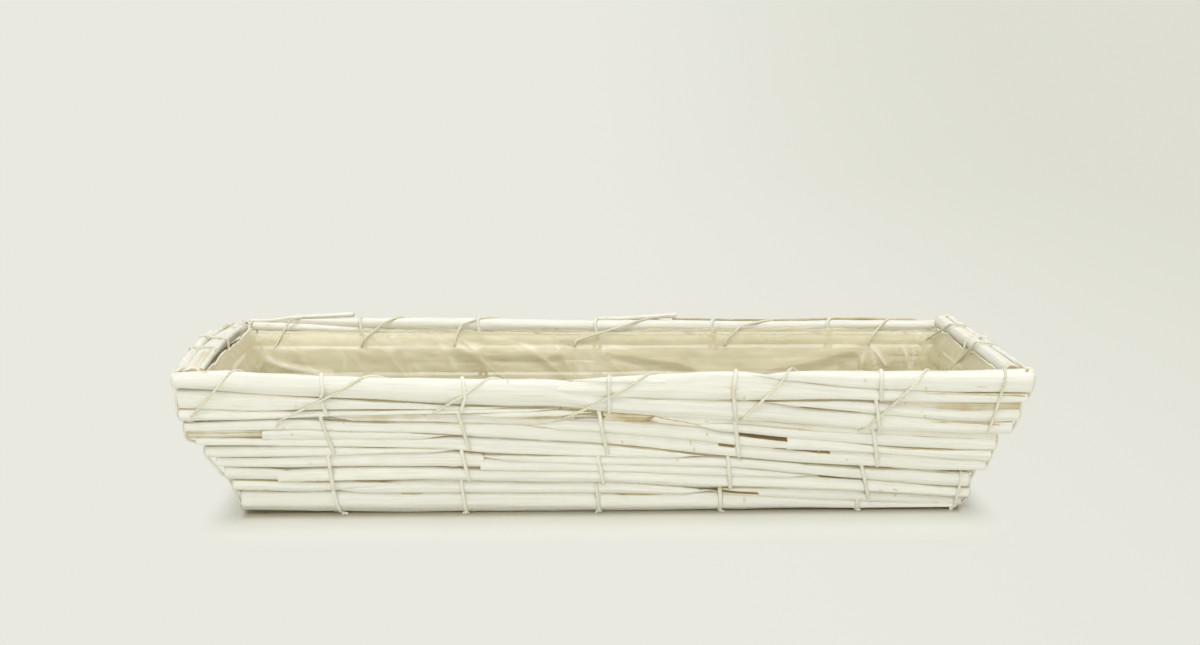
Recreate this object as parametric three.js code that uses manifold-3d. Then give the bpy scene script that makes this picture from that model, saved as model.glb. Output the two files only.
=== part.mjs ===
// Reed basket: a long, low trough of reeds laid in courses and bound by twined ties, with a foil
// liner sewn in by a lashing round the rim. Millimetres, +Z up, the front long wall towards -Y.
import * as THREE from "three";
import { mergeVertices } from "three/addons/utils/BufferGeometryUtils.js";
import Module from "manifold-3d";

const wasm = await Module();
wasm.setup();

// Overall sizes
const RIM_LENGTH = 600; // between the ends of the rim reeds
const RIM_WIDTH = 210; // over the outsides of the two long rims
const BASE_LENGTH = 540; // between the ends of the foot reeds
const BASE_WIDTH = 150; // over the outsides of the two long foot reeds
const OVERHANG = 0.5; // of a long reed past the outside of the end wall

// Diameters of the long reeds at mid length
const FOOT_REED = 14;
const LOWER_REED = 11.5;
const MIDDLE_REED = 8.5;
const MIDDLE_CORE_REED = 8; // between the two outer reeds of the middle course
const UPPER_REED = 9.5;
const UNDER_RIM_REED = 9;
const RIM_REED = 12.5;

// Courses from the floor up: long reeds, and number of reeds in an end wall
const COURSES = [
  { name: "foot", reeds: [FOOT_REED], endReeds: 1 },
  { name: "lower", reeds: [LOWER_REED, LOWER_REED], endReeds: 2 },
  { name: "middle", reeds: [MIDDLE_REED, MIDDLE_CORE_REED, MIDDLE_REED], endReeds: 2 },
  { name: "upper", reeds: [UPPER_REED, UPPER_REED], endReeds: 2 },
  { name: "rim", reeds: [UNDER_RIM_REED, RIM_REED], endReeds: 2 },
];
const TAPER = 0.22; // extra thickness at the butt end of a reed, as a share
const RIM_WAVE = 2.5; // dip and rise of the long rims along their length
const FOOT_FLAT = 1; // depth of the flat that the foot reeds stand on
const END_ROUND = 1.5; // length of the rounded end of a reed
const BASE_REED = 13; // diameter of the reeds in the base
const BASE_GAP = 5; // least gap between base reeds

// Twine and fits
const TWINE = 1.8; // diameter of the ties and of the rim lashing
const CLEARANCE = 0.3; // between pieces that touch
const SLACK = 0.3; // extra play of the twine between two courses
const TWIST = 2.5; // sideways shift of a tie strand over one course
const BAYS_LONG = 6; // spaces between tie columns along the length
const BAYS_END = 2; // spaces between tie columns across an end
const CORNER_TIE = 6; // of a corner tie from the inside of the corner
const STITCHES_LONG = 7; // turns of the rim lashing along a long rim
const STITCHES_END = 2; // turns of the rim lashing along an end rim

// Foil liner
const FILM = 0.8; // modelled thickness of the foil
const LINER_CORNER = 14; // radius of the liner's upright corners
const LINER_DROP = 3; // of the liner's edge below the middle of the rim reed

// Fineness of the meshes
const LONG_STATIONS = 7;
const END_STATIONS = 3;
const TIE_SIDES = 4;
const LASHING_SIDES = 6;
const CORNER_STEPS = 3;

// Sizes that follow
const SIDES = 8;
const CORNERS = 1 / Math.cos(Math.PI / SIDES); // corner radius of an octagon over its flats
const COURSE_GAP = TWINE + 2 * (CLEARANCE + SLACK);
const FOOT_RADIUS = FOOT_REED / 2;
const FOOT_CENTRE = FOOT_RADIUS - FOOT_FLAT;
const UNDER = CLEARANCE + TWINE / 2; // height of twine that passes under a reed

/** Distance from the middle of a reed at which twine bends round it clear of its corners. */
const hug = (radius) => (radius * CORNERS + TWINE / 2 + CLEARANCE) * CORNERS;

/** Sum of a list of numbers. */
const total = (values) => values.reduce((sum, value) => sum + value, 0);

/** Lower and upper edge of each course, up the slope from the middle of the foot reed. */
function courseLevels() {
  const levels = [{ bottom: -FOOT_RADIUS * CORNERS, top: FOOT_RADIUS * CORNERS }];
  for (const { reeds } of COURSES.slice(1)) {
    const bottom = levels.at(-1).top + COURSE_GAP;
    levels.push({ bottom, top: bottom + total(reeds) + (reeds.length - 1) * CLEARANCE });
  }
  return levels;
}

const LEVELS = courseLevels();
const RIM = COURSES.length - 1;
const RIM_RADIUS = RIM_REED / 2;
const RIM_LINE = LEVELS[RIM].top - RIM_RADIUS;
const LONG_RUN = RIM_WIDTH / 2 - RIM_RADIUS - (BASE_WIDTH / 2 - FOOT_RADIUS);
const LONG_LEAN = Math.asin(LONG_RUN / RIM_LINE);
const END_RUN = (RIM_LENGTH - BASE_LENGTH) / 2;
const END_LEAN = Math.atan(END_RUN / (RIM_LINE * Math.cos(LONG_LEAN)));
const END_SCALE = Math.cos(LONG_LEAN) / Math.cos(END_LEAN);
const RIM_HEIGHT = FOOT_CENTRE + RIM_LINE * Math.cos(LONG_LEAN);
const TIE_REACH = hug(Math.max(...COURSES.flatMap(({ reeds }) => reeds)) / 2);
const LASH_OUT = TIE_REACH + TWINE + 2 * CLEARANCE;
const FILM_IN = TIE_REACH + TWINE / 2 + CLEARANCE;
const LASH_IN = FILM_IN + FILM + CLEARANCE + TWINE / 2;

/** Closed solid through rings of points that run anticlockwise about the direction of travel. */
function loft(rings) {
  const sides = rings[0].length;
  const index = [];
  for (let i = 0; i + 1 < rings.length; i++) {
    for (let k = 0; k < sides; k++) {
      const a = i * sides + k;
      const b = i * sides + ((k + 1) % sides);
      index.push(a, b, b + sides, a, b + sides, a + sides);
    }
  }
  const end = (rings.length - 1) * sides;
  for (let k = 1; k + 1 < sides; k++) {
    index.push(0, k + 1, k, end, end + k, end + k + 1);
  }
  const positions = rings.flat().flatMap((p) => [p.x, p.y, p.z]);
  const geometry = new THREE.BufferGeometry();
  geometry.setAttribute("position", new THREE.Float32BufferAttribute(positions, 3));
  geometry.setIndex(index);
  return geometry;
}

/** Round tube along a line of points, its rings carried along without twist. */
function tube(points, sides) {
  const step = (i) => points[i + 1].clone().sub(points[i]).normalize();
  let normal = new THREE.Vector3(0.31, 0.57, 0.76);
  const rings = points.map((point, i) => {
    const before = step(Math.max(i - 1, 0));
    const tangent = before.add(step(Math.min(i, points.length - 2))).normalize();
    normal = normal.clone().addScaledVector(tangent, -normal.dot(tangent)).normalize();
    const binormal = tangent.clone().cross(normal);
    return Array.from({ length: sides }, (_, k) => {
      const angle = (2 * Math.PI * k) / sides;
      return point
        .clone()
        .addScaledVector(normal, (Math.cos(angle) * TWINE) / 2)
        .addScaledVector(binormal, (Math.sin(angle) * TWINE) / 2);
    });
  });
  return loft(rings);
}

/** Least gap of a wound twine to itself, measured on points about one millimetre apart. */
function leastSelfGap(points) {
  const line = new THREE.CurvePath();
  points.slice(1).forEach((point, i) => line.add(new THREE.LineCurve3(points[i], point)));
  const count = Math.round(line.getLength());
  const dense = line.getSpacedPoints(count);
  const apart = Math.ceil(5 * TWINE);
  let least = Infinity;
  for (let i = 0; i < dense.length; i++) {
    for (let k = i + apart; k < dense.length; k++) {
      least = Math.min(least, dense[i].distanceToSquared(dense[k]));
    }
  }
  return Math.sqrt(least) - TWINE;
}

/** Solid of a mesh for cutting. */
function solidOf(geometry) {
  const bare = mergeVertices(geometry, 1e-5);
  const mesh = new wasm.Mesh({
    numProp: 3,
    vertProperties: Float32Array.from(bare.attributes.position.array),
    triVerts: Uint32Array.from(bare.index.array),
  });
  mesh.merge();
  return new wasm.Manifold(mesh);
}

/** Geometry with a list of other geometries cut away. */
function cutAway(geometry, tools) {
  const result = tools.reduce((solid, tool) => solid.subtract(solidOf(tool)), solidOf(geometry));
  const mesh = result.getMesh();
  const cut = new THREE.BufferGeometry();
  cut.setAttribute("position", new THREE.Float32BufferAttribute(mesh.vertProperties, 3));
  cut.setIndex(Array.from(mesh.triVerts));
  return cut;
}

/** One leaning wall, drawn along +X with its outside towards -Y and turned about +Z into place. */
class Wall {
  constructor({ name, yaw, reach, lean, scale, alongHalf, tieHalf }) {
    Object.assign(this, { name, yaw, reach, lean, scale, alongHalf, tieHalf });
    this.up = new THREE.Vector3(0, -Math.sin(lean), Math.cos(lean));
    this.out = new THREE.Vector3(0, -Math.cos(lean), -Math.sin(lean));
    this.levels = LEVELS.map(({ bottom, top }, i) => (i ? { bottom: bottom * scale, top: top * scale } : { bottom, top }));
  }

  /** Height of a place up the slope. */
  heightAt(s) {
    return FOOT_CENTRE + s * Math.cos(this.lean);
  }

  /** Distance of the wall's middle from the middle of the basket, at a height. */
  reachAt(height) {
    return this.reach + (height - FOOT_CENTRE) * Math.tan(this.lean);
  }

  /** Point at x along, s up the slope and n outwards of the wall's middle, before the wall is turned. */
  local(x, s, n = 0) {
    return new THREE.Vector3(x, -this.reach, FOOT_CENTRE)
      .addScaledVector(this.up, s + this.waveAt(x, s))
      .addScaledVector(this.out, n);
  }

  /** The same point in the basket. */
  point(x, s, n = 0) {
    return this.turn(this.local(x, s, n));
  }

  /** Turns a point or direction of the wall into the basket. */
  turn(vector) {
    return vector.applyAxisAngle(new THREE.Vector3(0, 0, 1), this.yaw);
  }

  /** Dip and rise of a course, none at the ends or the foot. */
  waveAt() {
    return 0;
  }

  /** Reeds of a course at x: their middles up the slope and their radii, lowest first. */
  reedsAt(course, x) {
    const { bottom, top } = this.levels[course];
    const weights = this.weightsAt(course, x);
    const room = top - bottom - (weights.length - 1) * CLEARANCE;
    const unit = room / total(weights);
    let edge = bottom;
    return weights.map((weight) => {
      const radius = (weight * unit) / 2;
      const reed = { s: edge + radius, radius };
      edge += 2 * radius + CLEARANCE;
      return reed;
    });
  }
}

/** Front or back wall: tapered reeds that run past the end walls. */
class LongWall extends Wall {
  weightsAt(course, x) {
    const part = (2 * x) / RIM_LENGTH;
    return COURSES[course].reeds.map((size, j) => size * (1 + ((j + course) % 2 ? -1 : 1) * TAPER * part));
  }

  waveAt(x, s) {
    const share = Math.max(s - LEVELS[0].top, 0) / (RIM_LINE - LEVELS[0].top);
    return RIM_WAVE * share * Math.sin((2 * Math.PI * x) / RIM_LENGTH);
  }
}

/** End wall: even reeds that butt against the insides of the long walls. */
class EndWall extends Wall {
  weightsAt(course) {
    return Array(COURSES[course].endReeds).fill(1);
  }
}

/** Share of the wall's rise at a height, none at the foot and one at the rim. */
const riseShare = (height) => (height - FOOT_CENTRE) / (RIM_LINE * Math.cos(LONG_LEAN));

const LONG = {
  reach: BASE_WIDTH / 2 - FOOT_RADIUS,
  lean: LONG_LEAN,
  scale: 1,
  alongHalf: (height) => BASE_LENGTH / 2 + END_RUN * riseShare(height),
  tieHalf: (height) => BASE_LENGTH / 2 + END_RUN * riseShare(height) - OVERHANG - 2 * FOOT_RADIUS - CORNER_TIE,
};
const END = {
  reach: BASE_LENGTH / 2 - OVERHANG - FOOT_RADIUS,
  lean: END_LEAN,
  scale: END_SCALE,
  alongHalf: (height) => BASE_WIDTH / 2 - FOOT_RADIUS + LONG_RUN * riseShare(height),
  tieHalf: (height) => BASE_WIDTH / 2 - 2 * FOOT_RADIUS + LONG_RUN * riseShare(height) - CORNER_TIE,
};
const front = new LongWall({ name: "front", yaw: 0, ...LONG });
const right = new EndWall({ name: "right", yaw: Math.PI / 2, ...END });
const back = new LongWall({ name: "back", yaw: Math.PI, ...LONG });
const left = new EndWall({ name: "left", yaw: -Math.PI / 2, ...END });
const WALLS = [front, right, back, left];

/** Fractions of the half length at which the inner tie columns of a wall stand. */
function columnShares(bays) {
  return Array.from({ length: bays - 1 }, (_, i) => (2 * (i + 1)) / bays - 1);
}

/** Half length of a reed that belongs to a wall. */
function reedHalf(wall, course, { s, radius }) {
  if (wall instanceof LongWall) {
    return wall.alongHalf(wall.heightAt(s));
  }
  const corner = radius * CORNERS;
  const longRadius = Math.max(
    ...front.reedsAt(course, RIM_LENGTH / 2).map((reed) => reed.radius),
    ...front.reedsAt(course, -RIM_LENGTH / 2).map((reed) => reed.radius),
  );
  return wall.alongHalf(wall.heightAt(s) - corner) - longRadius * CORNERS - CLEARANCE;
}

/** Solid of one reed of a wall, its foot reeds flattened and notched where twine passes under. */
function reedSolid(wall, course, j) {
  const isFoot = course === 0;
  const half = reedHalf(wall, course, wall.reedsAt(course, 0)[j]);
  const count = wall instanceof LongWall ? LONG_STATIONS : END_STATIONS;
  const stations = Array.from({ length: count }, (_, i) => {
    const inner = half - END_ROUND;
    return { x: -inner + (2 * inner * i) / (count - 1), size: 1 };
  });
  const ends = [-half, half].map((x) => ({ x, size: 0.75 }));
  const up = isFoot ? new THREE.Vector3(0, 0, 1) : wall.up;
  const out = isFoot ? new THREE.Vector3(0, -1, 0) : wall.out;
  const rings = [ends[0], ...stations, ends[1]].map(({ x, size }) => {
    const reed = isFoot ? { s: 0, radius: FOOT_RADIUS } : wall.reedsAt(course, x)[j];
    const corner = reed.radius * CORNERS * size;
    return Array.from({ length: SIDES }, (_, k) => {
      const angle = ((k + 0.5) * 2 * Math.PI) / SIDES;
      const point = wall
        .local(x, reed.s)
        .addScaledVector(up, corner * Math.cos(angle))
        .addScaledVector(out, corner * Math.sin(angle));
      point.z = Math.max(point.z, 0);
      return point;
    });
  });
  return isFoot ? cutAway(loft(rings), footNotches(wall)) : loft(rings);
}

/** Cutters for the notches in which ties pass under a foot reed. */
function footNotches(wall) {
  const bays = wall instanceof LongWall ? BAYS_LONG : BAYS_END;
  const half = wall.alongHalf(FOOT_CENTRE);
  const corner = wall.tieHalf(FOOT_CENTRE);
  const places = [-corner, ...columnShares(bays).map((share) => share * half), corner];
  const width = TWINE + 2 * CLEARANCE;
  return places.map((x) => {
    const box = new THREE.BoxGeometry(width, 4 * FOOT_RADIUS, 2 * width);
    return box.translate(x + TWIST, -wall.reach, 0);
  });
}

/** Bundle of one wall course as twine meets it, from above or below, on a line x(height) of the wall. */
function courseBundle(wall, course, line, upwards) {
  const x = line(wall.heightAt(middleOf(wall, course)));
  const reeds = wall.reedsAt(course, x);
  const order = upwards ? [reeds[0], reeds.at(-1)] : [reeds.at(-1), reeds[0]];
  const [first, last] = order.map(({ s, radius }) => ({ at: wall.point(x, s), radius }));
  const along = wall.turn(wall.up.clone()).multiplyScalar(upwards ? 1 : -1);
  const out = wall.turn(wall.out.clone());
  const level = wall.turn(new THREE.Vector3(1, 0, 0));
  const straight = bundle(first, last, along, out, hug(Math.max(...reeds.map(({ radius }) => radius))));
  const onLine = (at) => at.addScaledVector(level, line(at.z) - x);
  return {
    entry: onLine(straight.entry),
    exit: onLine(straight.exit),
    pass: (side) => straight.pass(side).map(({ at, share }) => ({ at: onLine(at), share })),
  };
}

/** Bundle between two reeds, with the way round it on its outside (side 1) or inside (side -1). */
function bundle(first, last, along, out, reach) {
  const bend = ({ at, radius }, way, side) => {
    const direction = along.clone().multiplyScalar(way).addScaledVector(out, side).normalize();
    return at.clone().addScaledVector(direction, hug(radius));
  };
  return {
    entry: first.at.clone().addScaledVector(along, -first.radius),
    exit: last.at.clone().addScaledVector(along, last.radius),
    pass: (side) => {
      const middle = (first === last ? [first] : [first, last]).map(({ at }) => at.clone().addScaledVector(out, side * reach));
      const route = [bend(first, -1, side), ...middle, bend(last, 1, side)];
      return route.map((at, i) => ({ at, share: (2 * i) / (route.length - 1) - 1 }));
    },
  };
}

/** Foot reed as twine meets it: round the outside and under, or over the inner shoulder. */
function footBundle(wall, x, upwards, tuck) {
  const at = wall.point(x, 0);
  const up = wall.turn(wall.up.clone());
  const out = wall.turn(wall.out.clone());
  const inward = wall.turn(new THREE.Vector3(0, 1, 0));
  const reach = hug(FOOT_RADIUS);
  const under = (share) => at.clone().addScaledVector(inward, share * reach).setZ(UNDER);
  const outside = [
    { at: at.clone().addScaledVector(out.clone().add(up).normalize(), reach), share: -1 },
    { at: at.clone().addScaledVector(out, reach), share: -0.2 },
    { at: under(-0.8), share: 1 },
    { at: under(tuck ? 0.3 : 0.8), share: 1 },
  ];
  const shoulder = up.clone().add(inward).normalize();
  const inside = [{ at: at.clone().addScaledVector(shoulder, reach * CORNERS), share: 0 }];
  const turned = (route) => (upwards ? route.map(({ at: p, share }) => ({ at: p, share: -share })).reverse() : route);
  const top = at.clone().addScaledVector(up, FOOT_RADIUS * CORNERS);
  const inner = at.clone().addScaledVector(inward, FOOT_RADIUS);
  return {
    entry: upwards ? inner : top,
    exit: upwards ? top : inner,
    pass: (side) => turned(side > 0 ? outside : inside),
  };
}

/** Heights and places of the base reeds across the width. */
function baseLayout() {
  const room = BASE_WIDTH - 4 * FOOT_RADIUS;
  const count = Math.floor((room - BASE_GAP) / (BASE_REED + BASE_GAP));
  const pitch = (room - count * BASE_REED) / (count + 1) + BASE_REED;
  const places = Array.from({ length: count }, (_, i) => (i - (count - 1) / 2) * pitch);
  return { places, height: UNDER + hug(BASE_REED / 2) };
}

const BASE = baseLayout();

/** Base reed as twine meets it on its way to the back. */
function baseBundle(x, y) {
  const reed = { at: new THREE.Vector3(x, y, BASE.height), radius: BASE_REED / 2 };
  return bundle(reed, reed, new THREE.Vector3(0, 1, 0), new THREE.Vector3(0, 0, -1), hug(reed.radius));
}

/** Point midway between two bundles. */
const between = (one, next) => one.exit.clone().add(next.entry).multiplyScalar(0.5);

/** One strand of a twined tie: over the first bundle on the given side, then on the other, and so on. */
function strand(bundles, firstSide, across) {
  return bundles.flatMap((one, i) => {
    const side = i % 2 ? -firstSide : firstSide;
    const route = one.pass(side).map(({ at, share }) => at.addScaledVector(across, side * TWIST * share));
    const next = bundles[i + 1];
    const gap = next ? [between(one, next).addScaledVector(across, side * TWIST)] : [];
    return [...route, ...gap];
  });
}

/** Point over the top of a wall's rim. */
function overRim(wall, x) {
  const top = wall.reedsAt(RIM, x).at(-1);
  return wall.point(x, top.s + hug(top.radius));
}

/** Line of a tie column up a wall, as x for a height. */
const columnLine = (wall, share) => (height) => share * wall.alongHalf(height);

/** Middle of a course up the slope. */
const middleOf = (wall, course) => (wall.levels[course].bottom + wall.levels[course].top) / 2;

/** Numbers of the courses above the foot, highest first. */
const FALLING = COURSES.map((_, i) => i).slice(1).reverse();

/** Tie column that runs from the front rim under the base to the back rim and returns twisted with itself. */
function tieColumn(share) {
  const across = new THREE.Vector3(1, 0, 0);
  const ahead = columnLine(front, share);
  const behind = columnLine(back, -share);
  const foot = ahead(FOOT_CENTRE);
  const bundles = [
    ...FALLING.map((course) => courseBundle(front, course, ahead, false)),
    footBundle(front, foot, false),
    ...BASE.places.map((y) => baseBundle(foot, y)),
    footBundle(back, -foot, true),
    ...FALLING.toReversed().map((course) => courseBundle(back, course, behind, true)),
  ];
  const start = overRim(front, ahead(RIM_HEIGHT));
  const turn = overRim(back, behind(RIM_HEIGHT));
  return [
    start.clone().addScaledVector(across, -TWIST),
    ...strand(bundles, 1, across),
    turn,
    ...strand(bundles, -1, across).reverse(),
    start.clone().addScaledVector(across, TWIST),
  ];
}

/** Tie in the middle of an end wall, folded over the rim. */
function endTie(wall, share) {
  const across = wall.turn(new THREE.Vector3(1, 0, 0));
  const bundles = [
    ...FALLING.map((course) => courseBundle(wall, course, columnLine(wall, share), false)),
    footBundle(wall, columnLine(wall, share)(FOOT_CENTRE), false),
  ];
  const turn = overRim(wall, columnLine(wall, share)(RIM_HEIGHT));
  return [...strand(bundles, -1, across).reverse(), turn, ...strand(bundles, 1, across)];
}

/** Rise of a corner tie between two walls, as the gap between the leaning courses rises inwards. */
const CORNER_ARCH = ((FOOT_RADIUS + CORNER_TIE) / 4) * Math.sin(LONG_LEAN);

/** Tie round a corner: each strand lies outside one wall and then, a course lower, outside the other. */
function cornerTie(one, other) {
  const sides = [
    { wall: one, sign: 1 },
    { wall: other, sign: -1 },
  ].map(({ wall, sign }) => {
    const line = (height) => sign * wall.tieHalf(height);
    const bundles = [
      ...FALLING.map((course) => courseBundle(wall, course, line, false)),
      footBundle(wall, line(FOOT_CENTRE), false, true),
    ];
    return { bundles, across: wall.turn(new THREE.Vector3(sign, 0, 0)), top: overRim(wall, line(RIM_HEIGHT)) };
  });
  const half = (first) => {
    const points = [sides[first].top.clone().addScaledVector(sides[first].across, (first ? 1 : -1) * TWIST)];
    sides[0].bundles.forEach((_, i) => {
      const here = sides[(first + i) % 2];
      const there = sides[(first + i + 1) % 2];
      const side = (first + i) % 2 ? -1 : 1;
      const route = here.bundles[i].pass(1);
      points.push(...route.map(({ at, share }) => at.addScaledVector(here.across, side * TWIST * share)));
      if (here.bundles[i + 1]) {
        const [from, to] = [here, there].map(({ bundles, across }) =>
          between(bundles[i], bundles[i + 1]).addScaledVector(across, side * TWIST),
        );
        const arch = from.clone().add(to).multiplyScalar(0.5);
        arch.z += CORNER_ARCH;
        points.push(from, arch, to);
      }
    });
    return points;
  };
  return [...half(1).reverse(), ...half(0)];
}

/** Places along a wall where the rim lashing comes out below its course and crosses the rim. */
function stitches(wall, lowest) {
  const isLong = wall instanceof LongWall;
  const count = isLong ? STITCHES_LONG : STITCHES_END;
  const height = wall.heightAt(lowest);
  const room = TWIST + 2 * TWINE;
  const span = wall.tieHalf(height) - 2 * room;
  const pitch = (2 * span) / count;
  const columns = columnShares(isLong ? BAYS_LONG : BAYS_END).map((share) => share * wall.alongHalf(height));
  return Array.from({ length: count }, (_, i) => {
    const wished = -span + (i + 0.15) * pitch;
    const near = columns.find((x) => Math.abs(wished - x) < room);
    const low = near === undefined ? wished : near + Math.sign(wished - near || 1) * room;
    return { low, high: -span + (i + 0.6) * pitch, pitch };
  });
}

/** Middle of the gap below the upper course of a wall, where the lashing passes through. */
const lashingLow = (wall) => (wall.levels[RIM - 2].top + wall.levels[RIM - 1].bottom) / 2;

/** Rim lashing: one helix round the two top courses, through the foil on every turn. */
function rimLashing() {
  const turns = WALLS.flatMap((wall) => {
    const low = lashingLow(wall);
    return stitches(wall, low).map((stitch) => ({ wall, s: low, ...stitch }));
  });
  const bend = (wall, x, shift, angle, inner) => {
    const top = wall.reedsAt(RIM, x).at(-1).s;
    const n = Math.cos(angle) * (inner ? LASH_IN : LASH_OUT);
    return wall.point(x + shift, top + Math.sin(angle) * LASH_OUT, n);
  };
  const arc = Array.from({ length: CORNER_STEPS + 1 }, (_, i) => (i * Math.PI) / 2 / CORNER_STEPS);
  return turns.flatMap(({ wall, s, low, high, pitch }, i) => {
    const next = turns[(i + 1) % turns.length];
    const lean = high - low;
    return [
      wall.point(low, s, -LASH_IN),
      wall.point(low, s),
      wall.point(low, s, 0.8 * LASH_OUT),
      wall.point(low + 0.1 * lean, s + 0.25 * LASH_OUT, LASH_OUT),
      ...arc.map((angle, k) => bend(wall, low + (0.7 + (0.3 * k) / CORNER_STEPS) * lean, 0, angle, false)),
      ...arc.slice(1).map((angle, k) => bend(wall, high, (0.05 * pitch * (k + 1)) / CORNER_STEPS, Math.PI / 2 + angle, true)),
      next.wall.point(next.low - 0.1 * next.pitch, next.s + 0.4 * LASH_OUT, -LASH_IN),
    ];
  });
}

/** Ring of points round the liner at a height, a distance inside the middles of the walls. */
function linerRing(height, inside, radius) {
  const halfX = right.reachAt(height) - inside / Math.cos(END_LEAN);
  const halfY = front.reachAt(height) - inside / Math.cos(LONG_LEAN);
  const shape = [0, 1, 2, 3].flatMap((corner) =>
    [0, 1, 2, 3].map((step) => {
      const angle = ((corner + step / 3) * Math.PI) / 2;
      const x = Math.sign(Math.cos(((corner + 0.5) * Math.PI) / 2)) * (halfX - radius);
      const y = Math.sign(Math.sin(((corner + 0.5) * Math.PI) / 2)) * (halfY - radius);
      return new THREE.Vector3(x + radius * Math.cos(angle), y + radius * Math.sin(angle), height);
    }),
  );
  return shape;
}

/** Foil liner: an open tub inside the ties, with a hole at every turn of the rim lashing. */
function foilLiner() {
  const floor = BASE.height + hug(BASE_REED / 2) + TWINE / 2 + CLEARANCE;
  const edge = front.heightAt(RIM_LINE - RIM_WAVE - LINER_DROP);
  const inner = FILM_IN + FILM;
  const tub = loft([
    linerRing(floor, FILM_IN, LINER_CORNER),
    linerRing(edge, FILM_IN, LINER_CORNER),
    linerRing(edge, inner, LINER_CORNER - FILM),
    linerRing(floor + FILM, inner, LINER_CORNER - FILM),
  ]);
  const width = TWINE + 2 * CLEARANCE;
  const holes = WALLS.flatMap((wall) => {
    const s = lashingLow(wall);
    return stitches(wall, s).map(({ low }) => {
      const box = new THREE.BoxGeometry(width, 8 * FILM, width);
      box.rotateX(wall.lean);
      const at = wall.local(low, s, -FILM_IN - FILM / 2);
      return box.translate(at.x, at.y, at.z).rotateZ(wall.yaw);
    });
  });
  return cutAway(tub, holes);
}

/** Straight base reed. */
function baseReed() {
  const half = END.reach - FOOT_RADIUS * CORNERS - CLEARANCE;
  const stations = [
    { x: -half, size: 0.75 },
    { x: END_ROUND - half, size: 1 },
    { x: half - END_ROUND, size: 1 },
    { x: half, size: 0.75 },
  ];
  const rings = stations.map(({ x, size }) =>
    Array.from({ length: SIDES }, (_, k) => {
      const angle = ((k + 0.5) * 2 * Math.PI) / SIDES;
      const corner = (BASE_REED / 2) * CORNERS * size;
      return new THREE.Vector3(x, corner * Math.cos(angle), corner * Math.sin(angle));
    }),
  );
  return loft(rings);
}

const reedLook = new THREE.MeshStandardMaterial({ color: 0xe9e4da });
const twineLook = new THREE.MeshStandardMaterial({ color: 0xb9b190 });
const foilLook = new THREE.MeshStandardMaterial({ color: 0xcfc7a8 });

/** Named mesh with flat shading normals. */
function piece(name, geometry, look) {
  geometry.computeVertexNormals();
  const mesh = new THREE.Mesh(geometry, look);
  mesh.name = name;
  return mesh;
}

/** Twine piece; prints its least gap to itself. */
function twinePiece(name, points, sides) {
  console.log(`${name}: least gap to itself ${leastSelfGap(points).toFixed(2)} mm`);
  return piece(name, tube(points, sides), twineLook);
}

/** All reeds of one wall in a group turned into place. */
function wallGroup(wall) {
  const group = new THREE.Group();
  group.name = `${wall.name}_wall`;
  group.rotation.z = wall.yaw;
  COURSES.forEach(({ name }, course) => {
    const reeds = wall.reedsAt(course, 0);
    reeds.forEach((_, j) => {
      const label = reeds.length > 1 ? `_${j + 1}` : "";
      group.add(piece(`${wall.name}_${name}_reed${label}`, reedSolid(wall, course, j), reedLook));
    });
  });
  return group;
}

/** The whole basket. */
function basket() {
  const group = new THREE.Group();
  group.name = "reed_basket";
  WALLS.forEach((wall) => group.add(wallGroup(wall)));
  BASE.places.forEach((y, i) => {
    const reed = piece(`base_reed_${i + 1}`, baseReed(), reedLook);
    reed.position.set(0, y, BASE.height);
    group.add(reed);
  });
  columnShares(BAYS_LONG).forEach((share, i) => {
    group.add(twinePiece(`tie_column_${i + 1}`, tieColumn(share), TIE_SIDES));
  });
  [left, right].forEach((wall) => {
    columnShares(BAYS_END).forEach((share, i, all) => {
      const label = all.length > 1 ? `_${i + 1}` : "";
      group.add(twinePiece(`end_tie_${wall.name}${label}`, endTie(wall, share), TIE_SIDES));
    });
  });
  WALLS.forEach((wall, i) => {
    const next = WALLS[(i + 1) % WALLS.length];
    group.add(twinePiece(`corner_tie_${wall.name}_${next.name}`, cornerTie(wall, next), TIE_SIDES));
  });
  group.add(twinePiece("rim_lashing", rimLashing(), LASHING_SIDES));
  group.add(piece("foil_liner", foilLiner(), foilLook));
  return group;
}

export default basket();
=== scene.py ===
"""Reed basket, dressed: whitewashed reeds in courses, twined ties, a rim lashing and a clear foil liner.

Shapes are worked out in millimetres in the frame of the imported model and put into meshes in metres.
"""
import logging
import math
from dataclasses import dataclass, field
from enum import Enum
from functools import cached_property
from typing import Callable, Sequence

import bpy
import numpy as np
from mathutils import Matrix


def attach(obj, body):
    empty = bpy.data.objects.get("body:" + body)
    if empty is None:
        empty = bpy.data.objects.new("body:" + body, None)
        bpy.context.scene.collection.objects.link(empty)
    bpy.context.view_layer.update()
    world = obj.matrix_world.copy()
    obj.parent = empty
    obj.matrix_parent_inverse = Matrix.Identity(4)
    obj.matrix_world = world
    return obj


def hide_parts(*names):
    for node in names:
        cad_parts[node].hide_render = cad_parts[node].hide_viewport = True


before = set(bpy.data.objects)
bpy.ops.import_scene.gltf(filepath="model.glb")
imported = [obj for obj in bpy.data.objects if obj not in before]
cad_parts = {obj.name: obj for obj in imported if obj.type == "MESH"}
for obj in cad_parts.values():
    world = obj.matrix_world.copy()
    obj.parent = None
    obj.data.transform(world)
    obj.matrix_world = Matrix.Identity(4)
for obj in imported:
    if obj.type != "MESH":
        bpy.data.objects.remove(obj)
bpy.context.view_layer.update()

Array = np.ndarray
Random = np.random.Generator
Piece = bpy.types.Object
Socket = bpy.types.NodeSocket
Colour = tuple[float, float, float]
Line = tuple[tuple[float, float], ...]
MM = 0.001
LOG = logging.getLogger("reed_basket")


class ReedEnd(Enum):
    """How a reed ends."""

    SAWN = "sawn"
    POINTED = "pointed"


SAWN, POINTED = ReedEnd


class MarkKind(Enum):
    """What a mark on a reed shows."""

    SPLIT = "split"
    CREVICE_SHADE = "slit"
    FLECK = "fleck"


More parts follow.
